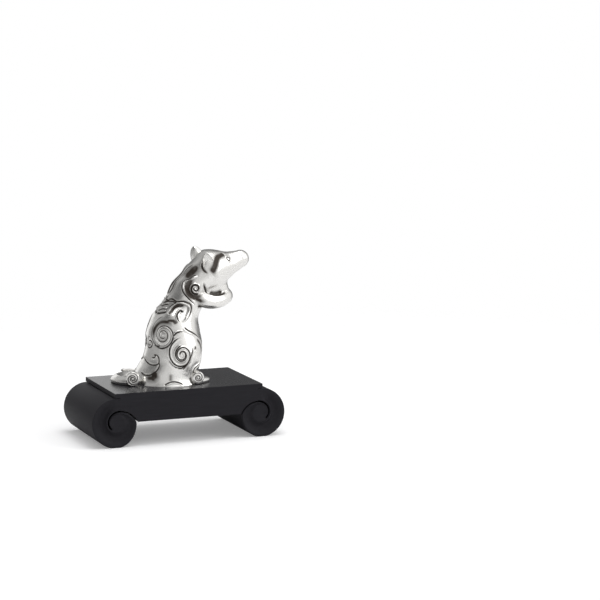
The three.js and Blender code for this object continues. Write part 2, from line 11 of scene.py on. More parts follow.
import bmesh
import bpy
import numpy as np
from mathutils import Matrix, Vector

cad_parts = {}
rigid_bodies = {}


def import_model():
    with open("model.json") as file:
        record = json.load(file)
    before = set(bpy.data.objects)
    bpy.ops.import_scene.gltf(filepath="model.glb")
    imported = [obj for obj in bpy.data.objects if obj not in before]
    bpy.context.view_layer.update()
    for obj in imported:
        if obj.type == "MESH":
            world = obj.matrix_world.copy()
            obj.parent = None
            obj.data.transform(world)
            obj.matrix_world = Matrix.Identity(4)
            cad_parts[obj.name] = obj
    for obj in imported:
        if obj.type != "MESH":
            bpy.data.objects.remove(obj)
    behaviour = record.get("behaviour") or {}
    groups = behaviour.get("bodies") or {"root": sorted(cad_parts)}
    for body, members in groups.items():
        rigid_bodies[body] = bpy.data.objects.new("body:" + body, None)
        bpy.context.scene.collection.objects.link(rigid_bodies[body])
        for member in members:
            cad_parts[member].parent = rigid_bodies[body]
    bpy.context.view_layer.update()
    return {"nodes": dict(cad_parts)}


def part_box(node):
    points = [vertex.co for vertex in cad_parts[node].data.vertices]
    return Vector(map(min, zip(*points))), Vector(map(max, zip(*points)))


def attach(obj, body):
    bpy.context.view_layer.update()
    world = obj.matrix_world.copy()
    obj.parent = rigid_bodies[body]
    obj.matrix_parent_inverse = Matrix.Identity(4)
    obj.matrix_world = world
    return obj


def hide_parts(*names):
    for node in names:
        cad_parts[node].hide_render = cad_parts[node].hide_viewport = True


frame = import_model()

MM = 0.001
PLATFORM_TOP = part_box("stand_beam")[1][2] / MM
print("the platform's top is at", round(PLATFORM_TOP, 2), "mm")

# %% [markdown]
# ## The camera
# The photograph was taken with a long lens from slightly above, turned a little to the rat's rear. The place
# and the focal length come from the straight edges and the rolls of the stand, so the camera is set first
# and every outline can be compared with the photograph.

# %% Camera
CAMERA_PLACE = (-429.3, -1283.9, 279.7)
CAMERA_RIGHT = (0.92904, -0.36999, 0.0)
CAMERA_UP = (0.05383, 0.13516, 0.98936)
CAMERA_AHEAD = (0.3661, 0.9192, -0.1455)
SENSOR = 36.0
FOCAL_IN_IMAGES = 2281.31 / 600


def new_object(name, data, axes=None):
    """An object in the scene that holds the data; the columns of axes are its right, up, back and place."""
    made = bpy.data.objects.new(name, data)
    if axes is not None:
        matrix = np.eye(4)
        matrix[:3] = np.stack(axes, -1)
        made.matrix_world = Matrix(matrix.tolist())
    bpy.context.scene.collection.objects.link(made)
    return made


def make_camera():
    """A camera with the measured axes; it looks along its own -Z."""
    data = bpy.data.cameras.new("camera")
    data.sensor_width = SENSOR
    data.lens = FOCAL_IN_IMAGES * SENSOR
    axes = [CAMERA_RIGHT, CAMERA_UP, -np.array(CAMERA_AHEAD), np.array(CAMERA_PLACE) * MM]
    camera = new_object("camera", data, axes)
    bpy.context.scene.camera = camera
    return camera


print("lens:", round(make_camera().data.lens, 1), "mm")

# %% [markdown]
# ## Shader sums
# A finish is easier to read as a sum than as a list of links. This small class wraps one output of a node.
# Its operators add Math nodes, and its method node adds any other.

# %% A socket that takes part in sums
class Wire:
    """One output of a node tree, on which +, - and * add Math nodes."""

    def __init__(self, tree, output=None):
        self.tree = tree
        self.output = output

    def node(self, kind, inputs=None, output=0, **settings):
        """Add a shader node: its settings first, then values or links for its sockets."""
        made = self.tree.nodes.new("ShaderNode" + kind)
        for key, value in settings.items():
            setattr(made, key, value)
        for key, value in (inputs or {}).items():
            feed(made, key, value)
        return Wire(self.tree, made.outputs[output]) if made.outputs else None

    def noise(self, place, scale, detail, **inputs):
        """Noise at a place; the scale is in lumps for each metre."""
        return self.node("TexNoise", {"Vector": place, "Scale": scale, "Detail": detail, **inputs})

    def sum_with(self, operation, *values):
        """A Math node over the values, of which any may be a Wire."""
        return self.node("Math", dict(enumerate(values)), operation=operation)

    def __add__(self, other):
        return self.sum_with("ADD", self, other)

    __radd__ = __add__

    def __mul__(self, other):
        return self.sum_with("MULTIPLY", self, other)

    __rmul__ = __mul__

    def __sub__(self, other):
        return self.sum_with("SUBTRACT", self, other)

    def __rsub__(self, other):
        return self.sum_with("SUBTRACT", other, self)

    def clamped(self):
        """The value between 0 and 1."""
        return self.node("Clamp", {0: self})

    def mix(self, first, second):
        """Blend two colours by this factor."""
        return self.node("Mix", {0: self, 6: first, 7: second}, 2, data_type="RGBA")


def new_material(name):
    """A material with a Principled shader, as (material, shader node, a Wire that adds nodes)."""
    material = bpy.data.materials.new(name)
    material.use_nodes = True
    tree = material.node_tree
    return material, tree.nodes["Principled BSDF"], Wire(tree)


def feed(node, name, value):
    """Link a Wire to a node's socket, or set the socket where the value is the same everywhere."""
    if isinstance(value, Wire):
        value.tree.links.new(value.output, node.inputs[name])
    else:
        node.inputs[name].default_value = value


# %% [markdown]
# ## Pewter
# The casting is polished, then darkened, then polished again, so its high places shine and its grooves stay
# brown and dull. The grooves are known when the relief is made, so each mesh carries a number for patina and
# painted shade on its points: it also paints broad dark patches for shade and dark reflections, and darker
# skin where a piece meets the platform. The shader reads it and adds fine stains and a slightly uneven
# surface.

# %% Pewter
PEWTER_BRIGHT, PEWTER_DARK = (0.84, 0.83, 0.805, 1), (0.034, 0.026, 0.02, 1)
PEWTER_POLISH = 0.25


def make_pewter():
    """The stain and painted shade is the patina-and-shade number times a cloud, and blots where the wear is
    strong. It blends the colour from bright to dark, takes up to 0.55 from the metallic look and adds up to
    0.34 to the roughness."""
    material, shader, wire = new_material("pewter")
    place = wire.node("TexCoord", output="Object")
    # The patina in the grooves and the painted shade and dark reflections that each mesh carries.
    groove = wire.node("Attribute", output="Fac", attribute_name="patina_and_shade")
    cloud, grain = wire.noise(place, 190.0, 5.0), wire.noise(place, 1500.0, 3.0)
    wear = wire.noise(place, 95.0, 4.0, Roughness=0.6)
    stain = (groove * (cloud * 0.5 + 0.75) + ((wear - 0.55) * 1.4).clamped()).clamped()
    feed(shader, "Base Color", stain.mix(PEWTER_BRIGHT, PEWTER_DARK))
    feed(shader, "Metallic", 1.0 - stain * 0.55)
    feed(shader, "Roughness", (cloud - 0.5) * 0.1 + PEWTER_POLISH + stain * 0.34)
    hand = wire.node("Bump", {"Strength": 0.3, "Distance": 0.001, "Height": wear})
    fine = {"Strength": 0.10, "Distance": 0.00012, "Height": grain, "Normal": hand}
    feed(shader, "Normal", wire.node("Bump", fine))
    return material


pewter = make_pewter()
print("made", pewter.name)

# %% [markdown]
# ## Lacquered wood, beech and steel
# The stand is sprayed a soft black that hides the grain but lets it show faintly as a ripple, and its level
# faces are rubbed to a faint sheen. The dowels are bare beech, and the screws and washers are plain steel.

# %% Black lacquer
LACQUER_LOW, LACQUER_HIGH = (0.016, 0.0156, 0.0182, 1), (0.026, 0.0253, 0.0292, 1)
LEVEL_FROM = 0.985


def make_lacquer():
    """Noise drawn out along X is the grain. A coat lies where the normal's rise passes LEVEL_FROM."""
    material, shader, wire = new_material("black_lacquer")
    place = wire.node("TexCoord", output="Object")
    along = wire.node("Mapping", {"Vector": place, "Scale": (90.0, 900.0, 900.0)})
    grain, speck = wire.noise(along, 1.0, 4.0), wire.noise(place, 2600.0, 2.0)
    feed(shader, "Base Color", (grain * 0.7 + speck * 0.3).clamped().mix(LACQUER_LOW, LACQUER_HIGH))
    feed(shader, "Roughness", grain * 0.10 + 0.48)
    feed(shader, "Specular IOR Level", 0.06)
    facing = wire.node("NewGeometry", output="Normal")
    upward = wire.node("SeparateXYZ", {"Vector": facing}, "Z")
    feed(shader, "Coat Weight", ((upward - LEVEL_FROM) * 70.0).clamped() * 0.8)
    feed(shader, "Coat Roughness", 0.22)
    ripple = {"Strength": 0.18, "Distance": 0.0001, "Height": grain * 0.6 + speck * 0.4}
    feed(shader, "Normal", wire.node("Bump", ripple))
    return material


lacquer = make_lacquer()
print("made", lacquer.name)

# %% Beech and steel
def make_beech():
    """Noise drawn out along X blends two browns and roughens the darker one less."""
    material, shader, wire = new_material("beech")
    place = wire.node("TexCoord", output="Object")
    along = wire.node("Mapping", {"Vector": place, "Scale": (60.0, 900.0, 900.0)})
    grain = wire.noise(along, 1.0, 5.0)
    feed(shader, "Base Color", grain.mix((0.36, 0.21, 0.10, 1), (0.62, 0.42, 0.24, 1)))
    feed(shader, "Roughness", grain * 0.2 + 0.6)
    return material


def make_steel():
    """A fine cloud blends two greys and their roughness."""
    material, shader, wire = new_material("screw_steel")
    cloud = wire.noise(wire.node("TexCoord", output="Object"), 700.0, 3.0)
    feed(shader, "Base Color", cloud.mix((0.42, 0.42, 0.43, 1), (0.62, 0.62, 0.62, 1)))
    feed(shader, "Metallic", 1.0)
    feed(shader, "Roughness", cloud * 0.2 + 0.28)
    return material


beech, steel = make_beech(), make_steel()
for node in frame["nodes"]:
    finish = beech if "dowel" in node else steel if "screw" in node or "washer" in node else None
    if finish:
        held = bpy.data.objects[node]
        held.data.materials.clear()
        held.data.materials.append(finish)
print("made", beech.name, "and", steel.name)

# %% [markdown]
# ## From arrays to meshes
# Every surface below is an array of points and an array of faces. These helpers join a grid's points into
# four-sided faces, close its ends, and hand the result to Blender as a piece that rides on the root body.

# %% Grids, closed ends and pieces
def grid_quads(rows, columns, wrap=False):
    """Faces of a grid: each joins a point, its right neighbour and the two above them."""
    index = np.arange(rows * columns).reshape(rows, columns)
    if wrap:
        index = np.hstack([index, index[:, :1]])
    corners = [index[:-1, :-1], index[:-1, 1:], index[1:, 1:], index[1:, :-1]]
    return np.stack(corners, -1).reshape(-1, 4)


def closed_rings(rings, first, last):
    """A closed skin: rings of points joined row by row, with a fan to one point at either end."""
    rows, around = rings.shape[:2]
    points = np.concatenate([rings.reshape(-1, 3), [first, last]])
    turn = np.arange(around)
    after = (turn + 1) % around
    base, top = rows * around, (rows - 1) * around
    low_fan = np.stack([np.full(around, base), after, turn], -1)
    high_fan = np.stack([np.full(around, base + 1), top + turn, top + after], -1)
    faces = grid_quads(rows, around, wrap=True).tolist() + low_fan.tolist() + high_fan.tolist()
    return points, faces


def make_piece(name, points, faces, material, stands_for=(), patina_and_shade=None):
    """A mesh object that rides on the root body, from points in millimetres; its place is in its mesh."""
    mesh = bpy.data.meshes.new(name)
    mesh.from_pydata((np.asarray(points) * MM).tolist(), [], [list(face) for face in faces])
    if patina_and_shade is not None:
        stored = mesh.attributes.new("patina_and_shade", "FLOAT", "POINT")
        stored.data.foreach_set("value", np.asarray(patina_and_shade, np.float32))
    mesh.materials.append(material)
    mesh.shade_smooth()
    made = new_object(name, mesh)
    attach(made, "root")
    if stands_for:
        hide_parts(*stands_for)
    print(name, "has", len(points), "points")
    return made


def ease(value, low, high):
    """0 below low, 1 above high, and a smooth step between."""
    t = np.clip((value - low) / (high - low), 0, 1)
    return t * t * (3 - 2 * t)


def bell(value, width):
    """1 at zero, and e to the power of minus the square of value over width elsewhere."""
    return np.exp(-(value / width) ** 2)


def full_turn(count):
    """Even angles round a whole turn, without the last, which would be the first again."""
    return np.linspace(0, 2 * np.pi, count, endpoint=False)


# %% [markdown]
# ## The stand
# The beam and platform keep their CAD shape, with the screw holes and hollowed corners. A real lacquered
# edge is never knife sharp, so a welded copy gets a small bevel.

# %% Beam and platform
EDGE_ROUND = 0.35


def make_beam():
    """A copy of the node's mesh without its inner edges, with a bevel on every sharp edge."""
    mesh = bpy.data.objects["stand_beam"].data.copy()
    shape = bmesh.new()
    shape.from_mesh(mesh)
    bmesh.ops.remove_doubles(shape, verts=shape.verts, dist=1e-6)
    bmesh.ops.dissolve_limit(shape, angle_limit=0.01, verts=shape.verts, edges=shape.edges)
    shape.to_mesh(mesh)
    shape.free()
    mesh.materials.clear()
    mesh.materials.append(lacquer)
    mesh.shade_smooth()
    mesh.set_sharp_from_angle(angle=np.radians(35))
    beam = new_object("beam_and_platform", mesh)
    bevel = beam.modifiers.new("soft_edges", "BEVEL")
    bevel.width = EDGE_ROUND * MM
    bevel.segments = 2
    bevel.limit_method = "ANGLE"
    bevel.angle_limit = np.radians(40)
    bevel.harden_normals = True
    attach(beam, "root")
    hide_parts("stand_beam")
    return beam


print("beam faces:", len(make_beam().data.polygons))

# %% [markdown]
# ## The wound rolls
# Each end of the stand is carved like a rolled strip. Seen from the side, the strip runs over the top of the
# roll, round its outside and in along a spiral slit to a small eye. So the face is a grid whose first
# parameter winds along the strip and whose second crosses it from the outer edge to the inner edge. The
# carved channel is then only a depth that depends on the second parameter.

# %% Sizes of a roll
ROLL_RADIUS = 14.75
ROLL_X = 45.25
ROLL_Z = 14.5
STAND_DEPTH = 60.7
JOINT_X = 42.78
COIL_SIDE = 12.4
EYE_RADIUS = 3.4
SLIT_WIDTH = 1.1
SLIT_TURN = 232.0
SLIT_TIGHTENING = 75.0
CHANNEL_DEPTH = 2.3
EYE_DEPTH = 0.12
LEAD, OPEN, CLOSED = 5, 72, 181


def slit_radius(turned):
    """The slit's radius: it falls from the roll's side towards the eye as the slit turns, in degrees."""
    return EYE_RADIUS + (COIL_SIDE - EYE_RADIUS) * np.exp(-turned / SLIT_TIGHTENING)


def at_angle(radius, wound):
    """A point at a radius, wound clockwise in degrees from the top of the roll."""
    angle = np.radians(wound)
    return np.stack([ROLL_X + radius * np.sin(angle), ROLL_Z + radius * np.cos(angle)], -1)


# %% The strip from its outer edge to its inner edge
def strip_edges():
    """Outer and inner edge points of the wound strip, and how far each column has wound. A few lead columns
    join the beam, the open ones have the slit inside them and the closed ones meet the turn before."""
    tries = np.linspace(40, 90, 501)
    start = tries[np.argmin(abs(at_angle(slit_radius(tries) + SLIT_WIDTH, tries - 90)[:, 0] - JOINT_X))]
    lead = np.linspace(0, 1, LEAD + 1)[:-1]
    open_turn = np.linspace(0, SLIT_TURN - 90, OPEN)
    closed_turn = np.linspace(SLIT_TURN - 89.5, SLIT_TURN + 270.5, CLOSED)
    wound = np.concatenate([lead - 1, open_turn, closed_turn])
    late = np.clip(wound / 180 - 1, 0, 0.5) * 2
    roll = ROLL_RADIUS + (COIL_SIDE - ROLL_RADIUS) * late * late * (3 - 2 * late)
    outer = at_angle(np.where(wound <= 270, roll, slit_radius(wound - 270)), wound)
    outer[:, 1] = np.maximum(outer[:, 1], 0)
    outer[:LEAD, 0] = JOINT_X + (ROLL_X - JOINT_X) * lead
    outer[:LEAD, 1] = ROLL_Z + ROLL_RADIUS
    turned = wound + 90
    turned[:LEAD] = start + (90 - start) * lead
    gap = np.where(turned <= SLIT_TURN, SLIT_WIDTH, 0)
    inner = at_angle(slit_radius(turned) + gap, turned - 90)
    return outer, inner, wound


def channel_depth(across, width, wound):
    """Depth of the carved face: rounded edges, a lip at each edge and a channel deepest near the inner lip.
    It dies out towards the eye, where the strip has no inner edge."""
    inwards = across * width
    outwards = (1 - across) * width
    closed = (wound > SLIT_TURN - 89.8) * 1.0
    lip = np.minimum(0.8, width * 0.14)
    bend = 1.9 - 0.9 * ease(wound, 130, 240)
    share = np.clip((inwards - lip) / np.maximum(width - SLIT_WIDTH * closed - 1.9 * lip, 0.1), 0, 1) ** bend
    dish = np.minimum(CHANNEL_DEPTH, width * 0.34)
    dish = dish * (4 * share * (1 - share)) ** (1 + 0.6 * ease(wound, 90, 240))
    dish = dish * ease(wound, -2, 40) * (1 - 0.5 * ease(wound, 160, 300)) * (1 - ease(wound, 400, 490))
    rim = np.clip(1 - inwards / EDGE_ROUND, 0, 1) * (1 - ease(wound, 490, 500))
    inner_rim = np.clip(1 - outwards / EDGE_ROUND, 0, 1) * (1 - closed)
    corner = EDGE_ROUND * (2 - np.sqrt(1 - rim ** 2) - np.sqrt(1 - inner_rim ** 2))
    return dish + corner + EYE_DEPTH * np.maximum(closed * across ** 4, ease(wound, 440, 500))


# %% Both faces, the sides and the eye of a roll
def roll_surface():
    """Points and faces of a whole roll, before its shared points are merged."""
    outer, inner, wound = strip_edges()
    across = (1 - np.cos(np.pi * np.linspace(0, 1, 30))) / 2
    flat = outer[None] + (inner - outer)[None] * across[:, None, None]
    width = np.linalg.norm(inner - outer, axis=-1)
    depth = channel_depth(across[:, None], width[None], wound[None])
    rows, columns = depth.shape
    near = np.stack([flat[..., 0], depth - STAND_DEPTH / 2, flat[..., 1]], -1).reshape(-1, 3)
    far = near * [1, -1, 1]
    index = np.arange(rows * columns).reshape(rows, columns)
    quads = grid_quads(rows, columns)
    count = rows * columns
    split = LEAD + OPEN
    rim = np.concatenate([index[0], index[-1, :split][::-1], index[::-1, 0]])
    closed = rim[:-1] != rim[1:]
    walls = np.stack([rim[:-1], rim[1:], rim[1:] + count, rim[:-1] + count], -1)[closed]
    centre = len(near) * 2
    eye_edge = np.concatenate([index[-1, split:], index[::-1, -1]])
    fan = np.stack([np.full(len(eye_edge) - 1, centre), eye_edge[:-1], eye_edge[1:]], -1)
    fan = fan[eye_edge[:-1] != eye_edge[1:]]
    far_fan = fan + [[1, count, count]]
    tips = [[ROLL_X, EYE_DEPTH - STAND_DEPTH / 2, ROLL_Z], [ROLL_X, STAND_DEPTH / 2 - EYE_DEPTH, ROLL_Z]]
    faces = quads.tolist() + (quads + count).tolist() + walls.tolist() + fan.tolist() + far_fan.tolist()
    return np.concatenate([near, far, tips]), faces


def make_roll(name, node, side):
    """A roll as one closed mesh; side is 1 at the front and -1 at the rear."""
    points, faces = roll_surface()
    roll = make_piece(name, points * [side, 1, 1], faces, lacquer, [node])
    shape = bmesh.new()
    shape.from_mesh(roll.data)
    bmesh.ops.remove_doubles(shape, verts=shape.verts, dist=2e-6)
    bmesh.ops.recalc_face_normals(shape, faces=shape.faces)
    shape.to_mesh(roll.data)
    shape.free()
    roll.data.set_sharp_from_angle(angle=np.radians(40))
    return roll


make_roll("front_roll", "front_scroll", 1)
make_roll("rear_roll", "rear_scroll", -1)

# %% [markdown]
# ## The rat as a field
# A clay animal is built from lumps that are pressed together, and a distance field works the same way. Each
# form gives a number for every point in space: below zero inside and above zero outside. Two forms are
# pressed together by a soft minimum. Nearly the same sum made the CAD solids, so the fine skin lies on them.

# %% Trunk, muscles and snout
# Columns: height, middle, half length, half width
TRUNK = np.array([
    [0, -4, 21, 20.6], [3, -4.5, 20.4, 19.2], [8, -4.1, 18.4, 18.2], [14, -1.7, 17.1, 17.4],
    [22, 0.4, 17, 17], [30, 0.1, 16.1, 15.8], [38, 1.3, 13.9, 14], [44, 4.7, 12.9, 12.6],
    [52, 9, 12.2, 11.6], [60, 13.4, 12, 11], [66, 17.6, 9, 8.6], [71, 20, 4, 4],
], float)
MID_BLEND = 1.2
# An egg's middle, radii and pitch
SKULL = (22, 0, 66.8), (13, 11, 11.2), 12
# The same and the softness of the press: haunch, shoulder, floor of the mouth, upper lip
MUSCLES = [
    ((1.2, 10.4, 17.5), (12.8, 9.6, 16), 0, 4), ((-1, 8, 31), (11, 8.8, 13), 0, 4),
    ((21, 0, 51), (11, 7.4, 6.2), -6, 4), ((25.6, 0, 54.6), (9.6, 6.6, 7), 0, 3),
]
# A limb's ends and radii, how flat it is and how its taper bends
SNOUT = (24, 0, 65.4), (43, 0, 71.7), 11.8, 5.4, 0.88, 1.2
NAPE_HOLLOW = (8.9, -14, 78.6), (8.9, 14, 78.6), 8, 8


def trunk(p):
    """Reach from the middle line over an oval that changes with height; cubic curves join the stations."""
    heights, last = TRUNK[:, 0], len(TRUNK) - 1
    z = np.clip(p[..., 2], heights[0], heights[-1])
    at = np.clip(np.searchsorted(heights, z, side="right") - 1, 0, last - 1)
    before, beyond = np.maximum(np.arange(last + 1) - 1, 0), np.minimum(np.arange(last + 1) + 1, last)
    span = heights[at + 1] - heights[at]
    t = (z - heights[at]) / span
    s = 1 - t
    values = []
    for column in TRUNK.T[1:]:
        slope = (column[beyond] - column[before]) / (heights[beyond] - heights[before])
        values.append(column[at] * s * s * (1 + 2 * t) + column[at + 1] * t * t * (1 + 2 * s)
                      + span * s * t * (s * slope[at] - t * slope[at + 1]))
    middle, length, width = values
    reach = np.hypot((p[..., 0] - middle) / length, p[..., 1] / width)
    return np.maximum((reach - 1) * np.minimum(length, width), p[..., 2] - heights[-1])


def muscle(p, at, radii, pitch):
    """An egg: the reach over its radii, scaled so that the field grows by about 1 for each millimetre."""
    c, s = np.cos(np.radians(pitch)), np.sin(np.radians(pitch))
    dx, dy, dz = p[..., 0] - at[0], np.hypot(p[..., 1], MID_BLEND) - at[1], p[..., 2] - at[2]
    along, across, above = (dx * c + dz * s) / radii[0], dy / radii[1], (dz * c - dx * s) / radii[2]
    reach = np.sqrt(along ** 2 + across ** 2 + above ** 2)
    steep = np.sqrt((along / radii[0]) ** 2 + (across / radii[1]) ** 2 + (above / radii[2]) ** 2)
    return reach * (reach - 1) / np.maximum(steep, 1e-6)


def limb(p, start, end, thick, thin, flatten=1.0, curve=1.0):
    """A limb from one ball to another: distance to the line between them, less a radius that tapers. Where
    the curve is above 1, the taper dies out at the end, so that no crease shows where the ball begins."""
    q = p * [1, 1 / flatten, 1] - np.array(start, float)
    axis = np.array(end, float) - np.array(start, float)
    t = np.clip(q @ axis / (axis @ axis), 0, 1)
    return np.linalg.norm(q - t[..., None] * axis, axis=-1) - (thin + (thick - thin) * (1 - t) ** curve)


def press(a, b, softness):
    """The soft minimum of two fields."""
    near = np.maximum(softness - abs(a - b), 0) / softness
    return np.minimum(a, b) - near * near * softness / 4


def rat(p):
    """The whole skin without the jaw. It differs from the CAD solids by a millimetre or so at the chest and
    the rump, and by a hollow across the nape, which is a limb taken away by a soft maximum."""
    d = press(trunk(p), muscle(p, *SKULL), 6)
    d = press(d, limb(p, *SNOUT), 4)
    for *egg, softness in MUSCLES:
        d = press(d, muscle(p, *egg), softness)
    return -press(-d, limb(p, *NAPE_HOLLOW), 4)


# %% The lower jaw
# Columns: place (3), radius
JAW = np.array([
    [12, 8.6, 51.2, 3.0], [16.5, 8.6, 49, 4.3], [22.5, 7.8, 47.6, 4.15], [29, 5, 48.2, 4.2],
    [33.2, 0, 49.8, 4.6], [29, -5, 48.2, 4.2],
], float)


def smooth_path(stations, count):
    """A curve through stations: on each stretch, a cubic whose end slopes come from the neighbours."""
    stations = np.asarray(stations, float)
    last = len(stations) - 1
    place = np.linspace(0, last, count)
    at = np.minimum(place.astype(int), last - 1)
    t = (place - at)[:, None]
    before, beyond = np.maximum(at - 1, 0), np.minimum(at + 2, last)
    a, b, c, d = stations[before], stations[at], stations[at + 1], stations[beyond]
    square, cube = 2 * a - 5 * b + 4 * c - d, 3 * b - a - 3 * c + d
    return 0.5 * (2 * b + (c - a) * t + square * t ** 2 + cube * t ** 3)


JAW_PATH = smooth_path(JAW, 26)[:22]


def jaw(p):
    """A bent limb: a soft minimum of the distances to its short, straight links, on both sides of y = 0."""
    q = np.stack([p[..., 0], abs(p[..., 1]), p[..., 2]], -1)
    links = [limb(q, a[:3], b[:3], a[3], b[3]) for a, b in zip(JAW_PATH[:-1], JAW_PATH[1:])]
    return 0.2 - np.logaddexp.reduce(-4 * np.stack(links), axis=0) / 4


def head(p):
    """The rat's skin with the jaw pressed on."""
    return press(rat(p), jaw(p), 1.6)


print("field in the rat's heart:", round(float(rat(np.array([0.0, 0, 20]))), 1))

# %% [markdown]
# ## Finding the skin
# Two ways are used. The body is a simple form about its own middle line, so rays cast out from that line
# meet the skin once, and a grid of height and turn covers it. The head has an open mouth, and rays can't
# reach behind the jaw. There a net is thrown over the field: space is cut into small cubes, each cube that
# the skin passes through gets one point, and neighbours are joined.

# %% Slope of a field, and rays to its skin
def slope(field, p, step=0.02):
    """The field's gradient by central differences: the way out of the skin."""
    offsets = np.eye(3) * step
    return np.stack([field(p + e) - field(p - e) for e in offsets], -1) / (2 * step)


def unit(v):
    """Each vector over its length."""
    return v / np.maximum(np.linalg.norm(v, axis=-1, keepdims=True), 1e-9)


def on_skin(field, p, rounds=3):
    """Newton steps: each point moves along the slope by the field over the slope's square."""
    for _ in range(rounds):
        g = slope(field, p)
        p = p - g * (field(p) / np.maximum((g * g).sum(-1), 1e-6))[..., None]
    return p


def cast(field, start, direction, rounds=40):
    """Rays from inside: each grows by what the field says is left, until it reaches the skin."""
    far = np.zeros(start.shape[:-1])
    for _ in range(rounds):
        far = far - 0.9 * field(start + direction * far[..., None])
    return start + direction * far[..., None]


# %% A net over a field
def net(field, low, high, step):
    """One point in each cube that the skin crosses, at the mean of the crossings on its edges, and one face
    for each edge of the cubes that crosses it. The field is worked out finely only near the skin."""
    block = 4
    sizes = [int(np.ceil((b - a) / step / block)) * block for a, b in zip(low, high)]
    rough_axes = [a + step * np.arange(0, n, block) for a, n in zip(low, sizes)]
    value = field(np.stack(np.meshgrid(*rough_axes, indexing="ij"), -1))
    for axis in range(3):
        value = np.repeat(value, block, axis)
    close = np.argwhere(abs(value) < 8 * step)
    value[tuple(close.T)] = field(close * step + np.array(low))
    inside = value < 0
    count = sum(
        inside[i:i + sizes[0] - 1, j:j + sizes[1] - 1, k:k + sizes[2] - 1].astype(np.int8)
        for i, j, k in np.ndindex(2, 2, 2))
    cubes = np.argwhere((count > 0) & (count < 8))
    total, hits = np.zeros(cubes.shape), np.zeros(len(cubes))
    number = np.full(count.shape, -1)
    number[tuple(cubes.T)] = np.arange(len(cubes))
    quads = []
    for axis in range(3):
        second, third = (axis + 1) % 3, (axis + 2) % 3
        ahead = np.eye(3, dtype=int)
        for b, c in np.ndindex(2, 2):
            start = cubes + b * ahead[second] + c * ahead[third]
            v0, v1 = value[tuple(start.T)], value[tuple((start + ahead[axis]).T)]
            crosses = (v0 < 0) != (v1 < 0)
            share = np.where(crosses, v0 / np.where(crosses, v0 - v1, 1), 0)
            total += crosses[:, None] * (start + share[:, None] * ahead[axis])
            hits += crosses
        here = inside[tuple(slice(0, n - (a == axis)) for a, n in enumerate(sizes))]
        there = inside[tuple(slice(a == axis, n) for a, n in enumerate(sizes))]
        edges = np.argwhere(here != there)
        edges = edges[((edges > 0) | (np.arange(3) == axis)).all(1) & (edges < np.array(sizes) - 1).all(1)]
        outward = inside[tuple(edges.T)]
        steps = [-ahead[second] - ahead[third], -ahead[third], 0 * ahead[0], -ahead[second]]
        quad = np.stack([number[tuple((edges + s).T)] for s in steps], -1)
        quads.append(np.where(outward[:, None], quad, quad[:, ::-1]))
    points = total / hits[:, None] * step + np.array(low)
    quads = np.concatenate(quads)
    return on_skin(field, points, 2), quads[(quads >= 0).all(1)]


# %% [markdown]
# ## Scrollwork
# The rat is covered in scrolls, which stand up as thin rolled lips beside cut lines. Each is a curve that
# lies on the skin. For any point of the skin, its distance to the nearest place on the curve, and the side
# it lies on, give a height: a narrow groove on the curve and a rounded lip on one side or both. The far
# side of the rat mirrors the near side.

# %% Curves on the skin
SPACING = 0.12


def volute(origin, facing, top, factor, turns, squash, first):
    """Start points and ray direction for a scroll: its radius is multiplied by a factor in each turn, while
    it runs from the top to the rear, down and round, or the other way where turns is below zero."""
    count = int(abs(turns) * 2 * np.pi * top * 0.6 / SPACING)
    turn = first + np.linspace(0, 1, count) * turns
    radius = top * factor ** abs(turn - first)
    angle = np.radians(90) + 2 * np.pi * turn
    view = np.radians(facing)
    across = np.array([np.cos(view), -np.sin(view), 0])
    start = np.array([origin[0], 0, origin[1]]) + (radius * np.cos(angle) * squash)[:, None] * across
    start[:, 2] += radius * np.sin(angle)
    return start, np.array([-np.sin(view), -np.cos(view), 0])


class Line:
    """A curve on the skin with a section across it, in millimetres. A groove of a depth and a width lies at
    an offset from the curve, and a lip may stand on either side: inner is left of the way the curve runs.
    A dish sinks the inner side and dies away. Taper is the section's scale at the start and at the end."""

    def __init__(self, field, points, groove=0.46, width=0.28, at=0.0, inner=0.0, outer=0.0,
                 lip_at=0.7, lip_width=0.42, dish=0.0, reach=1.6, stain=1.0, spread=1.6,
                 taper=(1, 1), fade=(0.05, 0.08)):
        self.points = points
        self.along = unit(np.gradient(points, axis=0))
        self.side = np.cross(unit(slope(field, points)), self.along)
        share = np.linspace(0, 1, len(points))
        self.size = taper[0] + (taper[1] - taper[0]) * share
        self.fade = ease(share, 0, fade[0] + 1e-6) * ease(1 - share, 0, fade[1] + 1e-6)
        self.groove, self.width, self.at = groove, width, at
        self.inner, self.outer, self.lip_at, self.lip_width = inner, outer, lip_at, lip_width
        self.dish, self.reach, self.stain, self.spread = dish, reach, stain, spread

    def heights(self, p):
        """Which points are in reach, and for those the lip's height, the groove's depth and the stain, which
        on broad, barely cut lines is painted shade or a painted dark reflection.
        """
        reach = (2.6 * max(self.width * self.spread, self.lip_width) + self.lip_at + abs(self.at)
                 + 2 * self.reach * (self.dish != 0)) * self.size.max()
        low, high = self.points.min(0) - reach, self.points.max(0) + reach
        chosen = np.flatnonzero(((p > low) & (p < high)).all(1))
        near = p[chosen]
        index = np.empty(len(near), int)
        for first in range(0, len(near), 3000):
            part = near[first:first + 3000]
            index[first:first + 3000] = ((part[:, None] - self.points[None]) ** 2).sum(-1).argmin(1)
        offset = near - self.points[index]
        inside = (index > 0) & (index < len(self.points) - 1)
        along = (offset * self.along[index]).sum(1) * inside
        distance = np.linalg.norm(offset - along[:, None] * self.along[index], axis=1)
        across = np.where((offset * self.side[index]).sum(1) >= 0, distance, -distance) / self.size[index]
        strength = self.fade[index] * self.size[index]
        cut = self.groove * bell(across - self.at, self.width)
        dark = self.stain * bell(across - self.at, self.width * self.spread)
        lip = self.inner * bell(across - self.lip_at, self.lip_width)
        lip += self.outer * bell(across + self.lip_at, self.lip_width)
        if self.dish:
            inwards = np.maximum(across, 0)
            lip -= self.dish * ease(across, 0.2, 1.2) * np.exp(-inwards / self.reach)
        return chosen, lip * strength, cut * strength, dark * self.fade[index]


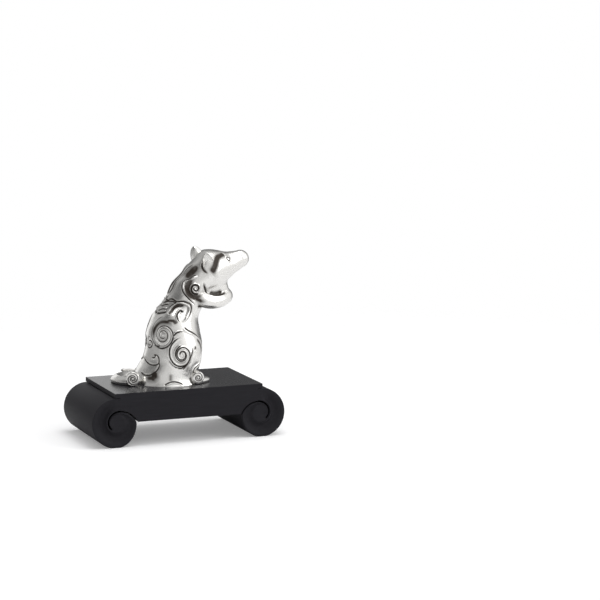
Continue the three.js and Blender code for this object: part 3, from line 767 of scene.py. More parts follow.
def drawn(field, stations, **section):
    """A line along a free curve through stations, laid on the skin."""
    rough = smooth_path(stations, 60)
    length = np.linalg.norm(np.diff(rough, axis=0), axis=1).sum()
    points = on_skin(field, smooth_path(stations, max(int(length / SPACING), 8)))
    return Line(field, points, **section)


def coiled(field, middle, facing, top, factor, turns, squash=1.0, first=0.0, **section):
    """A line that is a scroll about a middle, laid on the skin by rays."""
    start, outward = volute(middle, facing, top, factor, turns, squash, first)
    return Line(field, cast(field, start, np.broadcast_to(outward, start.shape)), **section)


def dress(points, normals, lines):
    """Raise and cut the skin by its lines, and say how dark each point is."""
    near = np.stack([points[:, 0], -abs(points[:, 1]), points[:, 2]], -1)
    raised, sunk, cut, stain = np.zeros((4, len(points)))
    for line in lines:
        chosen, lip, groove, dark = line.heights(near)
        raised[chosen] = np.maximum(raised[chosen], lip)
        sunk[chosen] = np.minimum(sunk[chosen], lip)
        cut[chosen] = np.maximum(cut[chosen], groove)
        stain[chosen] = np.maximum(stain[chosen], dark)
    height = (raised + sunk * (raised < 0.1)) * (1 - 0.8 * np.clip(cut / 0.4, 0, 1)) - cut
    return points + normals * height[:, None], stain


# %% How hollow each point lies
def hollows(points, faces, normals, rounds=2):
    """The mean of a point's neighbours, seen along its normal: above zero in a hollow, below on a ridge."""
    faces = np.asarray(faces)
    pairs = np.concatenate([np.stack([faces[:, i], faces[:, (i + 1) % 4]], -1) for i in range(4)])
    pairs = np.concatenate([pairs, pairs[:, ::-1]])
    count = np.maximum(np.bincount(pairs[:, 0], minlength=len(points)), 1)[:, None]

    def mean(values):
        """The mean of the neighbours' values."""
        sums = [np.bincount(pairs[:, 0], v[pairs[:, 1]], len(points)) for v in values.T]
        return np.stack(sums, -1) / count

    smooth = points
    for _ in range(rounds):
        smooth = mean(smooth)
    hollow = ((smooth - points) * normals).sum(1, keepdims=True)
    return mean(mean(hollow))[:, 0]


# %% [markdown]
# ## The body
# The body carries two large scrolls on the haunch and the shoulder, a small one on the back, two crescents
# behind the hip, hair that sweeps off the back in waves, and a crest that ends in a hook below the neck.
# A crease parts the raised knee from the belly. Broad, barely cut lines paint shade inside the scrolls and
# under the crest, and dark reflections on the neck and low on the body.

# %% Scrolls of the body
HAUNCH, SHOULDER, BACK = (1.4, 18.5), (3.4, 30.0), (-4.4, 24.2)
BODY_LINES = [
    coiled(rat, HAUNCH, 7, 10.4, 0.42, 2.3, 0.87, width=0.26, inner=0.42, outer=0.38, lip_width=0.48,
        taper=(1.1, 0.6)),
    coiled(rat, HAUNCH, 7, 5.6, 0.42, 1.25, 0.87, width=0.26, inner=0.38, outer=0.38, taper=(0.95, 0.6)),
    # Painted shade: a broad, barely cut stain darkens the inside of the haunch's inner turn.
    coiled(rat, HAUNCH, 7, 4.6, 0.8, 0.42, 0.87, first=-0.02, groove=0.06, width=0.75, stain=0.75,
        spread=1.0, fade=(0.3, 0.4)),
    drawn(rat, [(9.6, -16.6, 27.6), (11.6, -15.2, 24.8), (12.6, -14.2, 21), (12, -14.8, 16.4)],
        groove=0.22, width=0.7, stain=0.55, inner=0.25, lip_at=1.3, lip_width=0.7, fade=(0.3, 0.4)),
    coiled(rat, SHOULDER, 47, 11.0, 0.5, 2.75, 0.95, width=0.26, inner=0.5, dish=0.45, reach=2.2,
        taper=(1.1, 0.6)),
    # Painted shade: a broad, barely cut stain darkens the inside of the shoulder's scroll.
    coiled(rat, SHOULDER, 47, 8.2, 0.8, 0.5, 0.95, first=-0.16, groove=0.12, width=1.5, stain=0.85,
        spread=1.0, fade=(0.3, 0.3)),
    coiled(rat, BACK, 70, 4.2, 0.42, 1.7, 1.0, inner=0.42, taper=(0.9, 0.6)),
]

# %% Edges and creases of the haunch
BODY_LINES += [
    drawn(rat, [(1.2, -16.7, 35.1), (3.3, -16.9, 33), (6.9, -16.1, 31), (9.9, -14.7, 29.1),
        (12.2, -13.2, 26.8), (14, -11.8, 23.4), (14.6, -11.2, 19.5)], groove=0.5, width=0.34, stain=0.85,
        outer=0.45, lip_at=1.1, lip_width=0.7, fade=(0.15, 0.35)),
    drawn(rat, [(-5.4, -17, 29.7), (-3.8, -17.2, 31.4), (-1.4, -17.5, 32.1), (0.8, -17.5, 32.1)],
        groove=0.6, inner=0.3, fade=(0.15, 0.5)),
    drawn(rat, [(5.8, -18.8, 23.1), (5.7, -19.3, 20.1), (4.4, -19.7, 16.9), (2.1, -19.7, 12.7),
        (-0.6, -19.2, 9.2)], groove=0.5, width=0.34, stain=0.85, outer=0.35, lip_at=1.1, lip_width=0.6,
        fade=(0.4, 0.15)),
    drawn(rat, [(-3.7, -19, 10.8), (-1.8, -19.3, 10.5), (0.2, -19.6, 11.4), (2.1, -19.7, 12.7)],
        groove=0.5, inner=0.3, fade=(0.2, 0.2)),
    drawn(rat, [(7.7, -18, 23.3), (7.9, -18.2, 22), (7, -18.8, 20.8)], groove=0.3, width=0.5, stain=0.7,
        fade=(0.4, 0.4)),
    drawn(rat, [(13, -12.8, 15.6), (10.8, -15.8, 11.5), (7.6, -17.5, 9.5), (6.7, -17, 6.4),
        (6.4, -16.6, 3.5)], groove=0.5, width=0.32, inner=0.35, outer=0.45, lip_at=1.0, lip_width=0.55,
        fade=(0.25, 0.1)),
]

# %% The crest below the neck
BODY_LINES += [
    drawn(rat, [(-7.1, -9.8, 42.2), (-5.7, -9.7, 43.5), (-4.3, -9.2, 44.8), (-2.6, -9, 46.5),
        (-1.2, -9.4, 47.6), (0.2, -10, 48.2), (3.2, -11.5, 48), (4.8, -12, 47.4), (6.2, -12.3, 46),
        (6.1, -12.5, 44.1), (5.1, -13.3, 42.2), (3.9, -14.2, 40.4), (2.4, -15.3, 38.7), (0.6, -16, 37.4)],
        groove=0.0, stain=0.0, inner=0.95, lip_at=0.0, lip_width=0.6, taper=(0.8, 1.3), fade=(0.03, 0.12)),
    drawn(rat, [(1.8, -10.4, 49.2), (4.4, -11.3, 48.9), (7, -11.9, 47.6), (7.6, -12.2, 45.4),
        (7.1, -12.8, 42.6), (6, -13.8, 40), (4.4, -15, 38)], groove=0.35, width=0.45, stain=0.5,
        fade=(0.2, 0.4)),
    drawn(rat, [(-6.4, -10.6, 41.4), (-4.6, -10.5, 43.2), (-3, -10, 45), (-1.2, -10.1, 46.3),
        (0.3, -10.8, 46.9), (2, -11.6, 46.6), (3.6, -12.4, 45.6)], groove=0.6, width=1.0, stain=1.1,
        spread=1.4, taper=(0.6, 1.0), fade=(0.15, 0.3)),
    drawn(rat, [(1.6, -13.3, 42.8), (1.1, -12.7, 43.8), (0.1, -12.5, 43.8), (-1.2, -13, 42.8),
        (-2.1, -13.7, 41.6), (-2.2, -14.5, 40.3), (-1.8, -15.3, 38.9), (-1.1, -15.9, 37.5)], groove=0.9,
        width=0.42, inner=0.5, outer=0.5, lip_at=0.9, taper=(0.95, 0.6), fade=(0.04, 0.25)),
    # Painted shade under the crest: a shallow cut with a broad stain.
    drawn(rat, [(-8.3, -12.5, 38.4), (-6.8, -13.6, 38.6), (-4.9, -14.6, 38.5), (-3.9, -15.3, 37.8),
        (-2.9, -16.1, 36.4)], groove=0.3, width=1.3, spread=1.1, taper=(0.5, 1.1), fade=(0.2, 0.2)),
]

# %% Locks of hair between the shoulders and the neck
BODY_LINES += [
    drawn(rat, [(-4.3, -0.4, 49.6), (-4.2, -3.7, 49.4), (-3.1, -5, 50.3), (-2.1, -6.7, 50.2),
        (-0.9, -8.7, 49.2), (0.3, -9.8, 49.1), (1.6, -10.5, 49.3), (3.3, -11.2, 49.2), (5.5, -11.9, 48.4),
        (7.6, -11.8, 47.2)], groove=0.6, width=0.42, fade=(0.01, 0.2)),
    drawn(rat, [(-6.2, -0.2, 47.3), (-4.9, -3.1, 48.6), (-3.5, -5.8, 49.1), (-2, -7.8, 48.8),
        (-1.2, -9, 48.2), (-3.1, -8, 47), (-4.6, -7.6, 45.7), (-5.8, -7.4, 44.6), (-7.2, -7.2, 43.4)],
        groove=0.65, width=0.42, inner=0.45, lip_at=0.8, taper=(0.8, 0.9), fade=(0.01, 0.1)),
    drawn(rat, [(-7.4, -0.3, 45.6), (-6.4, -2.6, 46.6), (-5.3, -4.8, 47.1), (-4.1, -6.4, 47.2)],
        groove=0.35, width=0.5, inner=0.35, outer=0.3, stain=0.6, fade=(0.01, 0.3)),
    drawn(rat, [(-9.1, -0.1, 42.8), (-8.3, -1.5, 43.7), (-7.4, -3.7, 44.4), (-6.6, -6, 44.5),
        (-5.9, -6.7, 44.9)], groove=0.55, inner=0.5, lip_at=0.75, fade=(0.01, 0.2)),
    drawn(rat, [(-10, -0.2, 41.6), (-9.7, -2.8, 41.7), (-8.7, -5.4, 42.3), (-7.6, -7.6, 42.8),
        (-6.7, -7.9, 43.6)], groove=0.6, width=0.5, inner=0.4, lip_at=0.9, fade=(0.01, 0.1)),
]

# %% The nape
BODY_LINES += [
    drawn(rat, [(11.4, -5, 70.4), (9.9, -3.9, 68.9), (7.4, -2.6, 66), (5.2, -2.2, 63.6), (3.5, -2.2, 61.8),
        (2, -2.4, 60.2), (0.8, -3, 58.4), (-0.4, -3.2, 56.4), (-1.6, -2.8, 54.4), (-3, -1.2, 52.2)],
        groove=0.4, width=0.45, at=-0.8, inner=0.45, lip_at=0.0, lip_width=0.5, fade=(0.12, 0.05)),
    drawn(rat, [(3, -0.9, 61.5), (1.9, -1, 60.1), (0.5, -1.2, 58.4), (-0.6, -1.7, 56.6),
        (-1.9, -1.3, 54.3), (-2.6, -0.3, 53.2)], groove=0.4, width=0.45, stain=0.9, fade=(0.15, 0.1)),
    # Painted dark reflection on the side of the neck: a broad band that is almost all stain.
    drawn(rat, [(13.6, -8.2, 70.8), (10.6, -7.4, 67.8), (8, -6.8, 65), (4.8, -6, 61.8)], groove=0.06,
        width=2.9, stain=1.4, spread=1.0, taper=(0.7, 1.0), fade=(0.3, 0.35)),
    drawn(rat, [(-3.7, -0.4, 51.2), (-3.9, -1.5, 50.6)], groove=0.5, width=0.7, fade=(0.01, 0.3)),
]

# %% Crescents behind the hip and the arch over the base
BODY_LINES += [
    drawn(rat, [(-16, -8, 16.3), (-15, -9.7, 16.3), (-14.5, -10.2, 17.3), (-14.9, -9.3, 17.9),
        (-14, -10.7, 17.9), (-13.3, -12.3, 16.6), (-13.1, -12.9, 14.6), (-13.7, -12.8, 12.7),
        (-15.5, -11.1, 11.8), (-17.4, -8.1, 12.1), (-18.5, -3.4, 14), (-18.3, -0.3, 15.4)], groove=0.45,
        outer=0.4, fade=(0.02, 0.03)),
    drawn(rat, [(-13.2, -13.1, 13.7), (-13.5, -13.7, 10.8), (-15.5, -13.2, 7.8), (-18, -11.4, 5.9),
        (-20.2, -8.4, 5.6), (-20.9, -5, 6.8)], groove=0.4, outer=0.4),
    # A shallow cut whose broad stain paints a dark reflection below the lower crescent.
    drawn(rat, [(-20, -9.5, 4.3), (-17, -13.2, 4.6), (-13.6, -15, 6.8)], groove=0.4, width=1.5, stain=0.9,
        spread=1.1, fade=(0.3, 0.4)),
    drawn(rat, [(-11.6, -17.9, 0.4), (-8.6, -18.3, 2.0), (-6, -18.8, 2.4), (-3, -19.2, 1.7),
        (-0.4, -19.6, 0.5)], groove=0.5, outer=0.3, fade=(0.1, 0.15)),
    # These three broad, barely cut stains paint dark reflections low on the rump and flank.
    drawn(rat, [(-15, -13.6, 9.5), (-16.4, -13.6, 6), (-18, -13, 2.6)], groove=0.1, width=2.4, stain=0.95,
        spread=1.0, taper=(0.6, 1.1), fade=(0.45, 0.25)),
    drawn(rat, [(-7.6, -18.3, 8), (-8.2, -18.6, 2.5)], groove=0.12, width=1.2, stain=0.55, spread=1.0,
        fade=(0.45, 0.3)),
    drawn(rat, [(3.2, -19.2, 11.8), (2.2, -19.5, 7)], groove=0.12, width=1.0, stain=0.4, spread=1.0,
        fade=(0.45, 0.3)),
    drawn(rat, [(-14.6, -7.6, 23.7), (-13.2, -10.5, 23.2), (-12, -12.4, 23.6)], groove=0.35, width=0.3,
        fade=(0.3, 0.3)),
]
print("lines on the body:", len(BODY_LINES))

# %% Skin of the body
NECK_JOINT = np.array([5, 0, 40.8])
NECK_LEAN = np.radians(9)
NECK_NORMAL = np.array([np.sin(NECK_LEAN), 0, np.cos(NECK_LEAN)])
SEAT = np.array([-3.5, 0, 0])
BODY_ROWS, BODY_AROUND = 270, 720
CROWDING = 0.62


def body_skin():
    """Parameters are the rise along the middle line and the turn about it, wider apart on the plain chest.
    Rows lean with the neck, so the last one lies in the plane of the neck joint."""
    rise = np.linspace(0, 1, BODY_ROWS)[:, None]
    turn = np.linspace(0, 1, BODY_AROUND, endpoint=False)[None]
    turn = 2 * np.pi * turn + CROWDING * np.sin(2 * np.pi * turn)
    top = NECK_JOINT - NECK_NORMAL * 0.004
    centre = np.tile(SEAT + (top - SEAT) * rise[..., None], (1, BODY_AROUND, 1))
    centre[..., 0] = SEAT[0] + (top[0] - SEAT[0]) * rise ** 2
    lean = NECK_LEAN * rise
    direction = [np.cos(lean) * np.cos(turn), np.sin(turn) + 0 * rise, -np.sin(lean) * np.cos(turn)]
    return cast(rat, centre, np.stack(direction, -1)), top


skin, neck_top = body_skin()
normals = unit(slope(rat, skin.reshape(-1, 3)))
lifted, stain = dress(skin.reshape(-1, 3), normals, BODY_LINES)
hollow = hollows(lifted, grid_quads(BODY_ROWS, BODY_AROUND, wrap=True), normals)
print("deepest hollow:", round(float(hollow.max()), 3), "mm")

# %% The body as a piece
DEEP_HOLLOW = 0.03


def patina_and_shade_from(stain, hollow):
    """Lines are dark where they are cut, and broad lines paint shade and dark reflections; any hollow place
    holds a little of the dark finish.
    """
    return np.clip(stain * 1.3 + np.clip(hollow / DEEP_HOLLOW, 0, 1) * 0.6, 0, 1)


def cut_off(made, place, normal):
    """Cut a mesh along a plane, drop what lies behind the plane, close the cut and keep its edge sharp."""
    shape = bmesh.new()
    shape.from_mesh(made.data)
    geometry = shape.verts[:] + shape.edges[:] + shape.faces[:]
    cut = bmesh.ops.bisect_plane(
        shape, geom=geometry, dist=1e-7, plane_co=place, plane_no=normal, clear_inner=True)
    rim = [edge for edge in cut["geom_cut"] if isinstance(edge, bmesh.types.BMEdge)]
    bmesh.ops.holes_fill(shape, edges=rim, sides=0)
    shape.to_mesh(made.data)
    shape.free()
    made.data.set_sharp_from_angle(angle=np.radians(60))


def near_and_far(name, points, faces, patina_and_shade, node):
    """A casting's skin as two closed halves, which meet on the rat's middle plane."""
    halves = []
    faces = np.array([list(face) + [face[-1]] * (4 - len(face)) for face in faces])
    for half, way in (("near", -1), ("far", 1)):
        kept = faces[(points[faces, 1] * way).max(1) > 0.001]
        used, numbered = np.unique(kept, return_inverse=True)
        quads = [face if face[2] != face[3] else face[:3] for face in numbered.reshape(-1, 4).tolist()]
        made = make_piece(f"{name}_{half}", points[used], quads, pewter, [node], patina_and_shade[used])
        cut_off(made, (0, 0, 0), (0, way, 0))
        halves.append(made)
    return halves


rings = lifted.reshape(BODY_ROWS, BODY_AROUND, 3)
points, faces = closed_rings(rings, SEAT, neck_top)
points[:, 2] += PLATFORM_TOP
patina_and_shade = np.append(patina_and_shade_from(stain, hollow), [0, 0])
near_and_far("body_skin", points, faces, patina_and_shade, "body_casting")

# %% [markdown]
# ## The head
# The jaw runs from the cheek's scroll round the chin. A deep crease parts it from the mouth. Behind the eye
# lies a shallow hollow with a painted dark reflection, and the eye itself is a small polished ball in a
# ring.
# Broad stains paint shade in the cheek, below it, in the mouth and under the jaw.

# %% Lines of the head
HEAD_LINES = [
    drawn(head, [(12.6, -9.7, 64.6), (9.9, -8.7, 63.7), (8.1, -8.3, 62.4), (6.7, -7.8, 61.8),
        (5.2, -6.9, 61.2), (4, -6.8, 60), (3.1, -7.7, 57.8), (3.2, -8.9, 55.5), (4, -10.1, 53.5),
        (5.5, -11.3, 51.5), (7.3, -11.8, 49.5), (9.6, -12, 47.4), (12, -12.2, 45.8)], groove=0.6,
        width=0.32, inner=0.75, lip_at=1.0, lip_width=0.65, fade=(0.08, 0.3)),
    # Painted shade: a broad, barely cut stain darkens the cheek's scroll.
    coiled(head, (13.7, 56.6), 15, 5.1, 0.95, 0.7, groove=0.3, width=1.8, stain=1.15, spread=1.0,
        fade=(0.2, 0.3)),
    # Painted shade below the cheek, where the jaw begins: a broad, barely cut stain.
    drawn(head, [(9.2, -11.2, 53), (11.2, -11.8, 50.6), (14, -12.2, 49), (17.4, -12, 48)], groove=0.25,
        width=1.3, spread=1.0, fade=(0.25, 0.5)),
    # Painted shadow under the jaw: a stain with no cut.
    drawn(head, [(12, -12, 45.4), (16, -11.2, 43.8), (22, -9.8, 43.2), (29, -6.6, 43.8), (33, -3, 45)],
        groove=0.0, width=1.0, stain=0.7, spread=1.0, fade=(0.1, 0.4)),
    coiled(head, (13.7, 56.6), 15, 3.6, 0.42, -1.5, 1.0, first=0.6, groove=0.8, width=0.45, inner=0.5,
        outer=0.5, taper=(1.2, 0.6)),
    drawn(head, [(15.6, -11.4, 60.6), (16.6, -10.9, 57), (18.8, -10, 53.6), (22, -9.2, 51.4),
        (25.6, -8.3, 50.7), (29.4, -6.6, 51.2), (32.4, -4.4, 53)], groove=0.8, width=0.6, outer=0.4,
        lip_at=1.1, lip_width=0.6, fade=(0.25, 0.25)),
    # The crease at the mouth; its broad stain paints shade inside the open mouth.
    drawn(head, [(20.6, -9.4, 53.8), (23, -8.8, 52.6), (26.4, -8, 52.6), (29.6, -6.4, 53.6)], groove=0.6,
        width=1.4, stain=0.9, spread=1.2, fade=(0.25, 0.25)),
    # Painted dark reflection on the brow behind the eye, over a shallow hollow.
    drawn(head, [(32, -4.4, 76), (29.2, -5.9, 75.6), (26, -7.6, 74.2), (24.2, -9.4, 71.8),
        (22.6, -10.8, 68.6), (20, -11.6, 64.6)], groove=0.45, width=2.4, stain=1.05, spread=1.05,
        taper=(0.7, 0.95), fade=(0.15, 0.15)),
    drawn(head, [(17.4, -8.6, 79), (15.4, -9.2, 75.4), (15, -9.8, 71.2), (16, -10.4, 67.4),
        (18.8, -10.8, 64.8)], groove=0.5, width=0.6, stain=0.9, fade=(0.15, 0.2)),
]
print("lines on the head:", len(HEAD_LINES))

# %% Skin of the head
HEAD_STEP = 0.23
cloud, quads = net(head, (-12, -15.5, 36), (50, 15.5, 82), HEAD_STEP)
print("net over the head:", len(cloud), "points")
EYE = np.array([33.2, -6.3, 72.8])


def eye_relief(points):
    """A ball in a ring about the eye: by distance from its middle, a dome, a cut and a raised lid."""
    near = np.stack([points[:, 0], -abs(points[:, 1]), points[:, 2]], -1)
    far = np.linalg.norm((near - EYE) * [1, 1, 0.88], axis=1)
    dome = 0.4 * np.sqrt(np.clip(1 - (far / 0.95) ** 2, 0, 1))
    cut = bell(far - 1.15, 0.24)
    lid = 0.25 * bell(far - 1.65, 0.32)
    return dome + lid - 0.35 * cut, cut


normals = unit(slope(head, cloud))
lifted, stain = dress(cloud, normals, HEAD_LINES + BODY_LINES)
bulge, ring = eye_relief(cloud)
lifted = lifted + normals * bulge[:, None]
hollow = hollows(lifted, quads, normals)
patina_and_shade = patina_and_shade_from(np.maximum(stain, ring), hollow)

# %% The head as a piece
points = lifted + [0, 0, PLATFORM_TOP]
for half in near_and_far("head_skin", points, quads, patina_and_shade, "head_casting"):
    cut_off(half, (NECK_JOINT + [0, 0, PLATFORM_TOP]) * MM, NECK_NORMAL)
    print(half.name, len(half.data.polygons), "faces")

# %% [markdown]
# ## Tail, feet and ears
# These are single forms carried along a path: at each place on the path, a closed section is set across it.
# A ridge along the tail and a cup in the ear are only changes of that section.

# %% A section carried along a path
def carried(path, across, above, wide, high, section):
    """Rings of points: place + across * wide * first + above * high * second, for each section point."""
    ring = section[None]
    return (path[:, None] + across[:, None] * (wide[:, None] * ring[..., 0])[..., None]
            + above[:, None] * (high[:, None] * ring[..., 1])[..., None])


def oval_section(count, ridge=0.0):
    """A circle whose upper half is drawn up to a ridge; 0 is round and 1 is a sharp roof."""
    turn = full_turn(count)
    x, y = np.cos(turn), np.sin(turn)
    roof = np.where(y > 0, 1 - abs(x), y)
    return np.stack([x, y + (roof - y) * ridge], -1)


def turning(axis, degrees):
    """The matrix of a turn about one axis: cosines in two places and a sine and its opposite in two."""
    c, s = np.cos(np.radians(degrees)), np.sin(np.radians(degrees))
    first, second = [(1, 2), (2, 0), (0, 1)][axis]
    matrix = np.eye(3)
    matrix[first, first] = matrix[second, second] = c
    matrix[first, second], matrix[second, first] = -s, s
    return matrix


def cast_piece(name, rings, ends, dark, stands_for=(), flip=False, end_dark=0.0):
    """A pewter piece that stands on the platform: rings closed to a point at either end, with dark as its
    patina and painted shade. Flip turns the faces round where the rings run the other way."""
    points, faces = closed_rings(rings, *ends)
    points[:, 2] += PLATFORM_TOP
    if flip:
        faces = [face[::-1] for face in faces]
    patina_and_shade = np.append(np.broadcast_to(dark, rings.shape[:2]).ravel(), [end_dark, end_dark])
    return make_piece(name, points, faces, pewter, stands_for, patina_and_shade)


# %% The tail round the rump
TAIL_MIDDLE, TAIL_RADIUS = (-20, 5), 13.8
TAIL_FROM, TAIL_TO = 40, 236


def tail_piece():
    """The angle about the rump, in degrees, is the first parameter, and the section's turn is the second."""
    share = np.linspace(0, 1, 160)
    turn = np.radians(TAIL_FROM + (TAIL_TO - TAIL_FROM) * share)
    high = (3.6 + (5 - 3.6) * share) * 1.2
    outward = np.stack([np.cos(turn), np.sin(turn), 0 * turn], -1)
    path = TAIL_RADIUS * outward + [*TAIL_MIDDLE, 0]
    path[:, 2] = high / 3
    end = np.clip((1 - share) / 0.03, 0.02, 1) ** 0.5
    above = np.broadcast_to([0.0, 0, 1], path.shape)
    rings = carried(path, -outward, above, 3.5 * end, high / 2 * end, oval_section(48, 0.55))
    rings[..., 2] = np.maximum(rings[..., 2], 0.0)
    # Painted contact shadow: the tail darkens where it meets the platform.
    dark = bell(rings[..., 2], 0.5) * 0.6
    return cast_piece("tail_arc", rings, (path[0], path[-1]), dark, ["tail"])


print("made", tail_piece().name)

# %% Raised tip of the tail
TIP_STATIONS = [(-11, 17.5, 2.0), (-16.6, 20.6, 3.6), (-26, 22.4, 4.2)]
TIP_DARK = 0.35


def tip_piece():
    """A finger along three stations: its half width falls from 1.8 to 1 and closes as a square root."""
    count = 40
    path = smooth_path(TIP_STATIONS, count)
    along = unit(np.gradient(path, axis=0))
    across = unit(np.cross([0, 0, 1], along))
    share = np.linspace(0, 1, count)
    wide = (1.8 - 0.8 * ease(share, 0, 0.6)) * np.clip((1 - share) / 0.08, 0.03, 1) ** 0.5
    rings = carried(path, across, np.cross(along, across), wide, wide * 0.95, oval_section(20))
    return cast_piece("tail_tip", rings, (path[0], path[-1]), TIP_DARK, end_dark=TIP_DARK)


print("made", tip_piece().name)

# %% [markdown]
# ## Curled ends
# The tail and each foot end in a small disc on edge with a scroll on its face. In a disc's own polar
# coordinates, a scroll is a radius that shrinks as the angle grows, so the distance from a point to the
# nearest turn needs no search: it is the remainder of their ratio.

# %% Discs with a scroll
def curl_disc(name, at, diameter, thickness, facing, arms, tightness, start):
    """Polar grid over both faces and the rim. Each face has a scroll of one or two arms cut into it: the
    angle plus the logarithm of the radius over that of the tightness is a whole number on the cut."""
    radius, half, dome = diameter / 2, thickness / 2, 0.25
    turn = full_turn(150)[None]
    face, flat_to = 34, 0.86
    reach = np.linspace(0.02, flat_to, face)
    bend = np.radians(np.linspace(8, 172, 19))
    reach = np.concatenate([reach, flat_to + (1 - flat_to) * np.sin(bend), reach[::-1]])[:, None]
    side = np.concatenate([-np.ones(face), -np.cos(bend), np.ones(face)])[:, None]
    wind = np.log(reach) / np.log(tightness) + (turn * np.sign(-side + 1e-9) + start) / (2 * np.pi)
    wind = wind * arms
    gap = abs(wind - np.round(wind)) * reach * abs(np.log(tightness)) * radius / arms
    on_face = ease(reach, 0.1, 0.2) * (1 - ease(reach, 0.80, 0.88)) * (abs(side) > 0.9)
    cut = bell(gap, 0.23) * on_face
    out = side * (half + dome * (1 - reach ** 2) - 0.4 * cut)
    local = np.stack([radius * reach * np.cos(turn), out + 0 * turn, radius * reach * np.sin(turn)], -1)
    matrix = turning(2, facing).T
    ends = [np.array([0, way * (half + dome), 0]) @ matrix + at for way in (-1, 1)]
    return cast_piece(name, local @ matrix + at, ends, cut ** 0.8, flip=True)


curl_disc("tail_curl", (-28.4, -9, 4.4), 8.8, 4, -18, 2, 0.3, 0.6)
for name, side in (("right_foot_curl", -1), ("left_foot_curl", 1)):
    curl_disc(name, (9.4, 16.8 * side, 4), 8, 4.4, 6 * side, 1, 0.45, 2.2)

# %% Toes
TOE_RADII = (7.5, 3.2, 2.3)
TOE_MIDDLE = (13, -13.2, 1.3)
TOE_SPLAY = 33


def toe_piece(name, node, side):
    """A long egg that lies on the platform and points forwards and out; side is -1 on the right."""
    rise = np.linspace(0.03, np.pi - 0.03, 60)[:, None]
    turn = full_turn(90)[None]
    fat = np.sin(rise) ** 0.9
    local = np.stack([-np.cos(rise) + 0 * turn, fat * np.cos(turn), fat * np.sin(turn)], -1) * TOE_RADII
    tips = np.array([[-TOE_RADII[0], 0, 0], [TOE_RADII[0], 0, 0]])
    rings, ends = (part @ turning(2, TOE_SPLAY).T + TOE_MIDDLE for part in (local, tips))
    rings[..., 2] = np.maximum(rings[..., 2], 0)
    mirror = [1, -side, 1]
    # Painted contact shadow: the toe darkens where it meets the platform.
    dark = bell(rings[..., 2], 0.4) * 0.5
    return cast_piece(name, rings * mirror, ends * mirror, dark, [node], side > 0)


toe_piece("right_toe", "right_hind_foot", -1)
toe_piece("left_toe", "left_hind_foot", 1)

# %% [markdown]
# ## Ears
# Each ear is a thin leaf with a cup in its face. Its section is a flat oval whose middle is pushed back,
# and the width follows the leaf's outline from a narrow root to a rounded tip.

# %% Ears
EAR_HEIGHT, EAR_PITCH, EAR_CUP = 13.4, -16, 1.9


def ear_piece(name, node, side, splay, place, twist, width):
    """Parameters are the height along the leaf and the turn about its section. The cup pushes the middle
    back by a share of the outline, which is a power of a sine along the height."""
    rise = np.linspace(0, 1, 70)[:, None]
    turn = full_turn(64)[None]
    outline = np.clip(np.sin(np.pi * np.clip(rise, 0.004, 0.996) ** 0.92), 0, 1) ** 0.46
    x = (0.55 * outline + 0.12) * np.sin(turn) - EAR_CUP * outline * (1 - np.cos(turn) ** 2) + 0.8
    local = np.stack([x, width * outline * np.cos(turn), (rise - 0.5) * EAR_HEIGHT + 0 * turn], -1)
    matrix = turning(0, -side * splay) @ turning(1, EAR_PITCH) @ turning(2, side * twist)
    rings = local @ matrix.T + np.array(place)
    # Painted shade inside the cup, towards the root. The leaf's two edges are darker, and the whole ear a
    # little.
    inside = np.clip(np.sin(turn), 0, 1) * (1 - ease(rise, 0.2, 0.8)) * 0.6
    rim = bell(abs(np.cos(turn)) - 0.97, 0.06) * 0.5 + 0.12
    return cast_piece(name, rings, (rings[0].mean(0), rings[-1].mean(0)), np.maximum(inside, rim), [node])


ear_piece("right_ear_leaf", "right_ear", -1, 12, (18.9, -9.3, 71.2), 80, 3.6)
ear_piece("left_ear_leaf", "left_ear", 1, 4, (18.7, 9.2, 72.8), 66, 3.9)

# %% [markdown]
# ## Floor and light
# The floor is plain and pale. For camera rays a little of its own light lifts it to the white of the
# backdrop, and the shadow stays. Metal needs something to mirror, so mirrored rays see the white backdrop
# dimmed to soft greys, brighter on one side than on the other. A white card shines on the stand's rear end.

# %% Floor and card
FLOOR_RADIUS = 0.55
PAPER = (0.86, 0.86, 0.865, 1)
CAMERA_GLOW = 0.22
WHITE = (1, 1, 1, 1)


def make_sheet(name, corners, surface):
    """A flat sheet of the stage. The function surface builds its closure with a Wire."""
    mesh = bpy.data.meshes.new(name)
    mesh.from_pydata(corners.tolist(), [], [list(range(len(corners)))])
    material = bpy.data.materials.new(name + "_paper")
    material.use_nodes = True
    material.node_tree.nodes.clear()
    wire = Wire(material.node_tree)
    wire.node("OutputMaterial", {"Surface": surface(wire)})
    mesh.materials.append(material)
    return new_object(name, mesh)


def paper(wire):
    """White paper that glows a little for camera rays and thins out towards the floor's edge."""
    ray = wire.node("LightPath", output="Is Camera Ray")
    glow = wire.node("Emission", {"Color": WHITE, "Strength": ray * CAMERA_GLOW})
    lit = wire.node("AddShader", {0: wire.node("BsdfDiffuse", {"Color": PAPER}), 1: glow})
    place = wire.node("TexCoord", output="Object")
    far = wire.node("VectorMath", {0: place}, "Value", operation="LENGTH")
    thin = wire.node("MapRange", {
        "Value": far, "From Min": FLOOR_RADIUS * 0.35, "From Max": FLOOR_RADIUS * 0.98,
    }, interpolation_type="SMOOTHSTEP")
    return wire.node("MixShader", {0: thin, 1: lit, 2: wire.node("BsdfTransparent")})


around = full_turn(96)
edge = np.stack([np.cos(around), np.sin(around), 0 * around], -1) * FLOOR_RADIUS
floor = make_sheet("floor", edge, paper)
quarters = np.array([[-0.1, 0.15, 0.04], [0.03, 0.15, 0.04], [0.03, 0.15, 0.11], [-0.1, 0.15, 0.11]])
card = make_sheet(
    "white_card", quarters, lambda wire: wire.node("Emission", {"Color": WHITE, "Strength": 1.0}))
card.visible_camera = card.visible_diffuse = card.visible_shadow = False
print("made", floor.name, "and", card.name)

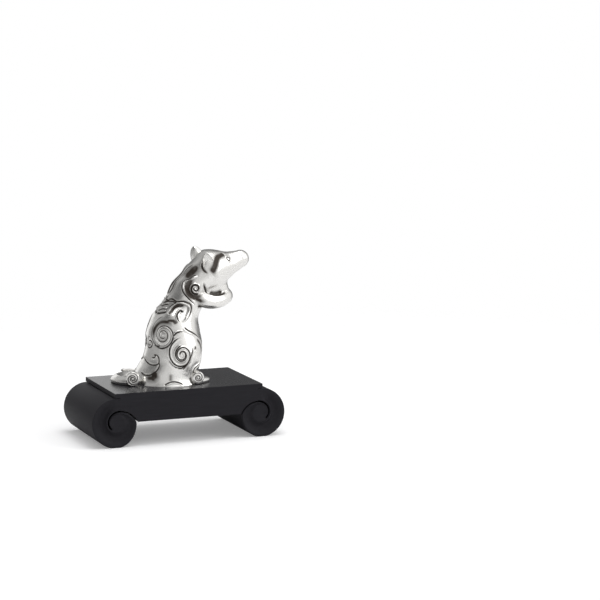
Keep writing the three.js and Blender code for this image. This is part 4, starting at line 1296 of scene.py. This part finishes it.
# %% World
# Columns: azimuth and elevation, inner and outer angle in degrees, and what is added to the level
LEVEL = 0.48
LOBES = [
    (-25, 8, 20, 70, 0.46), (-95, 5, 20, 55, 0.2), (-50, 65, 20, 50, 0.35),
    (-165, 50, 12, 48, -0.34), (62, 5, 15, 55, -0.34), (150, 10, 5, 30, -0.12),
]
DIFFUSE_LEVEL = 0.6


def make_world():
    """White for camera rays, an even grey for diffuse rays, and a studio by direction for mirrored rays:
    a level all round, changed by lobes that are 1 in their inner angle and 0 past their outer one."""
    world = bpy.data.worlds.new("studio")
    bpy.context.scene.world = world
    world.use_nodes = True
    world.node_tree.nodes.clear()
    wire = Wire(world.node_tree)
    way = wire.node("TexCoord", output="Generated")
    level = LEVEL
    for azimuth, elevation, inner, outer, gain in LOBES:
        a, e = np.radians(azimuth), np.radians(elevation)
        middle = (np.cos(a) * np.cos(e), np.sin(a) * np.cos(e), np.sin(e))
        dot = wire.node("VectorMath", {0: way, 1: middle}, "Value", operation="DOT_PRODUCT")
        ends = {"From Min": np.cos(np.radians(outer)), "From Max": np.cos(np.radians(inner))}
        level = level + wire.node("MapRange", {"Value": dot, **ends}, interpolation_type="SMOOTHSTEP") * gain
    camera, glossy, through = (
        wire.node("LightPath", output=f"Is {kind} Ray") for kind in ("Camera", "Glossy", "Transmission"))
    seen = (camera + (glossy + through).clamped()).clamped()
    dimmed = (1.0 - level) * (1.0 - camera)
    strength = (1.0 - seen) * DIFFUSE_LEVEL + seen * (1.0 - dimmed)
    sky = wire.node("Background", {"Color": WHITE, "Strength": strength})
    wire.node("OutputWorld", {"Surface": sky})
    return world


print("made", make_world().name)

# %% Lamps
LAMPS_FACE = (0, 0, 0.06)


def make_lamp(name, place, size, power):
    """A square soft box that faces the rat."""
    data = bpy.data.lights.new(name, "AREA")
    data.size = size
    data.energy = power
    back = unit(np.array(place, float) - LAMPS_FACE)
    side = unit(np.cross([0, 0, 1], back))
    return new_object(name, data, [side, np.cross(back, side), back, place])


make_lamp("right_box", (0.9, -0.7, 0.6), 0.7, 4.0)
make_lamp("top_box", (0.1, -0.1, 1.2), 0.8, 6.0)
bpy.context.scene.view_settings.view_transform = "Standard"

# %% Corners of a box
def corners(box):
    """A box's two corners, rounded to a thousandth of a millimetre."""
    return [[round(float(c), 6) for c in corner] for corner in box]
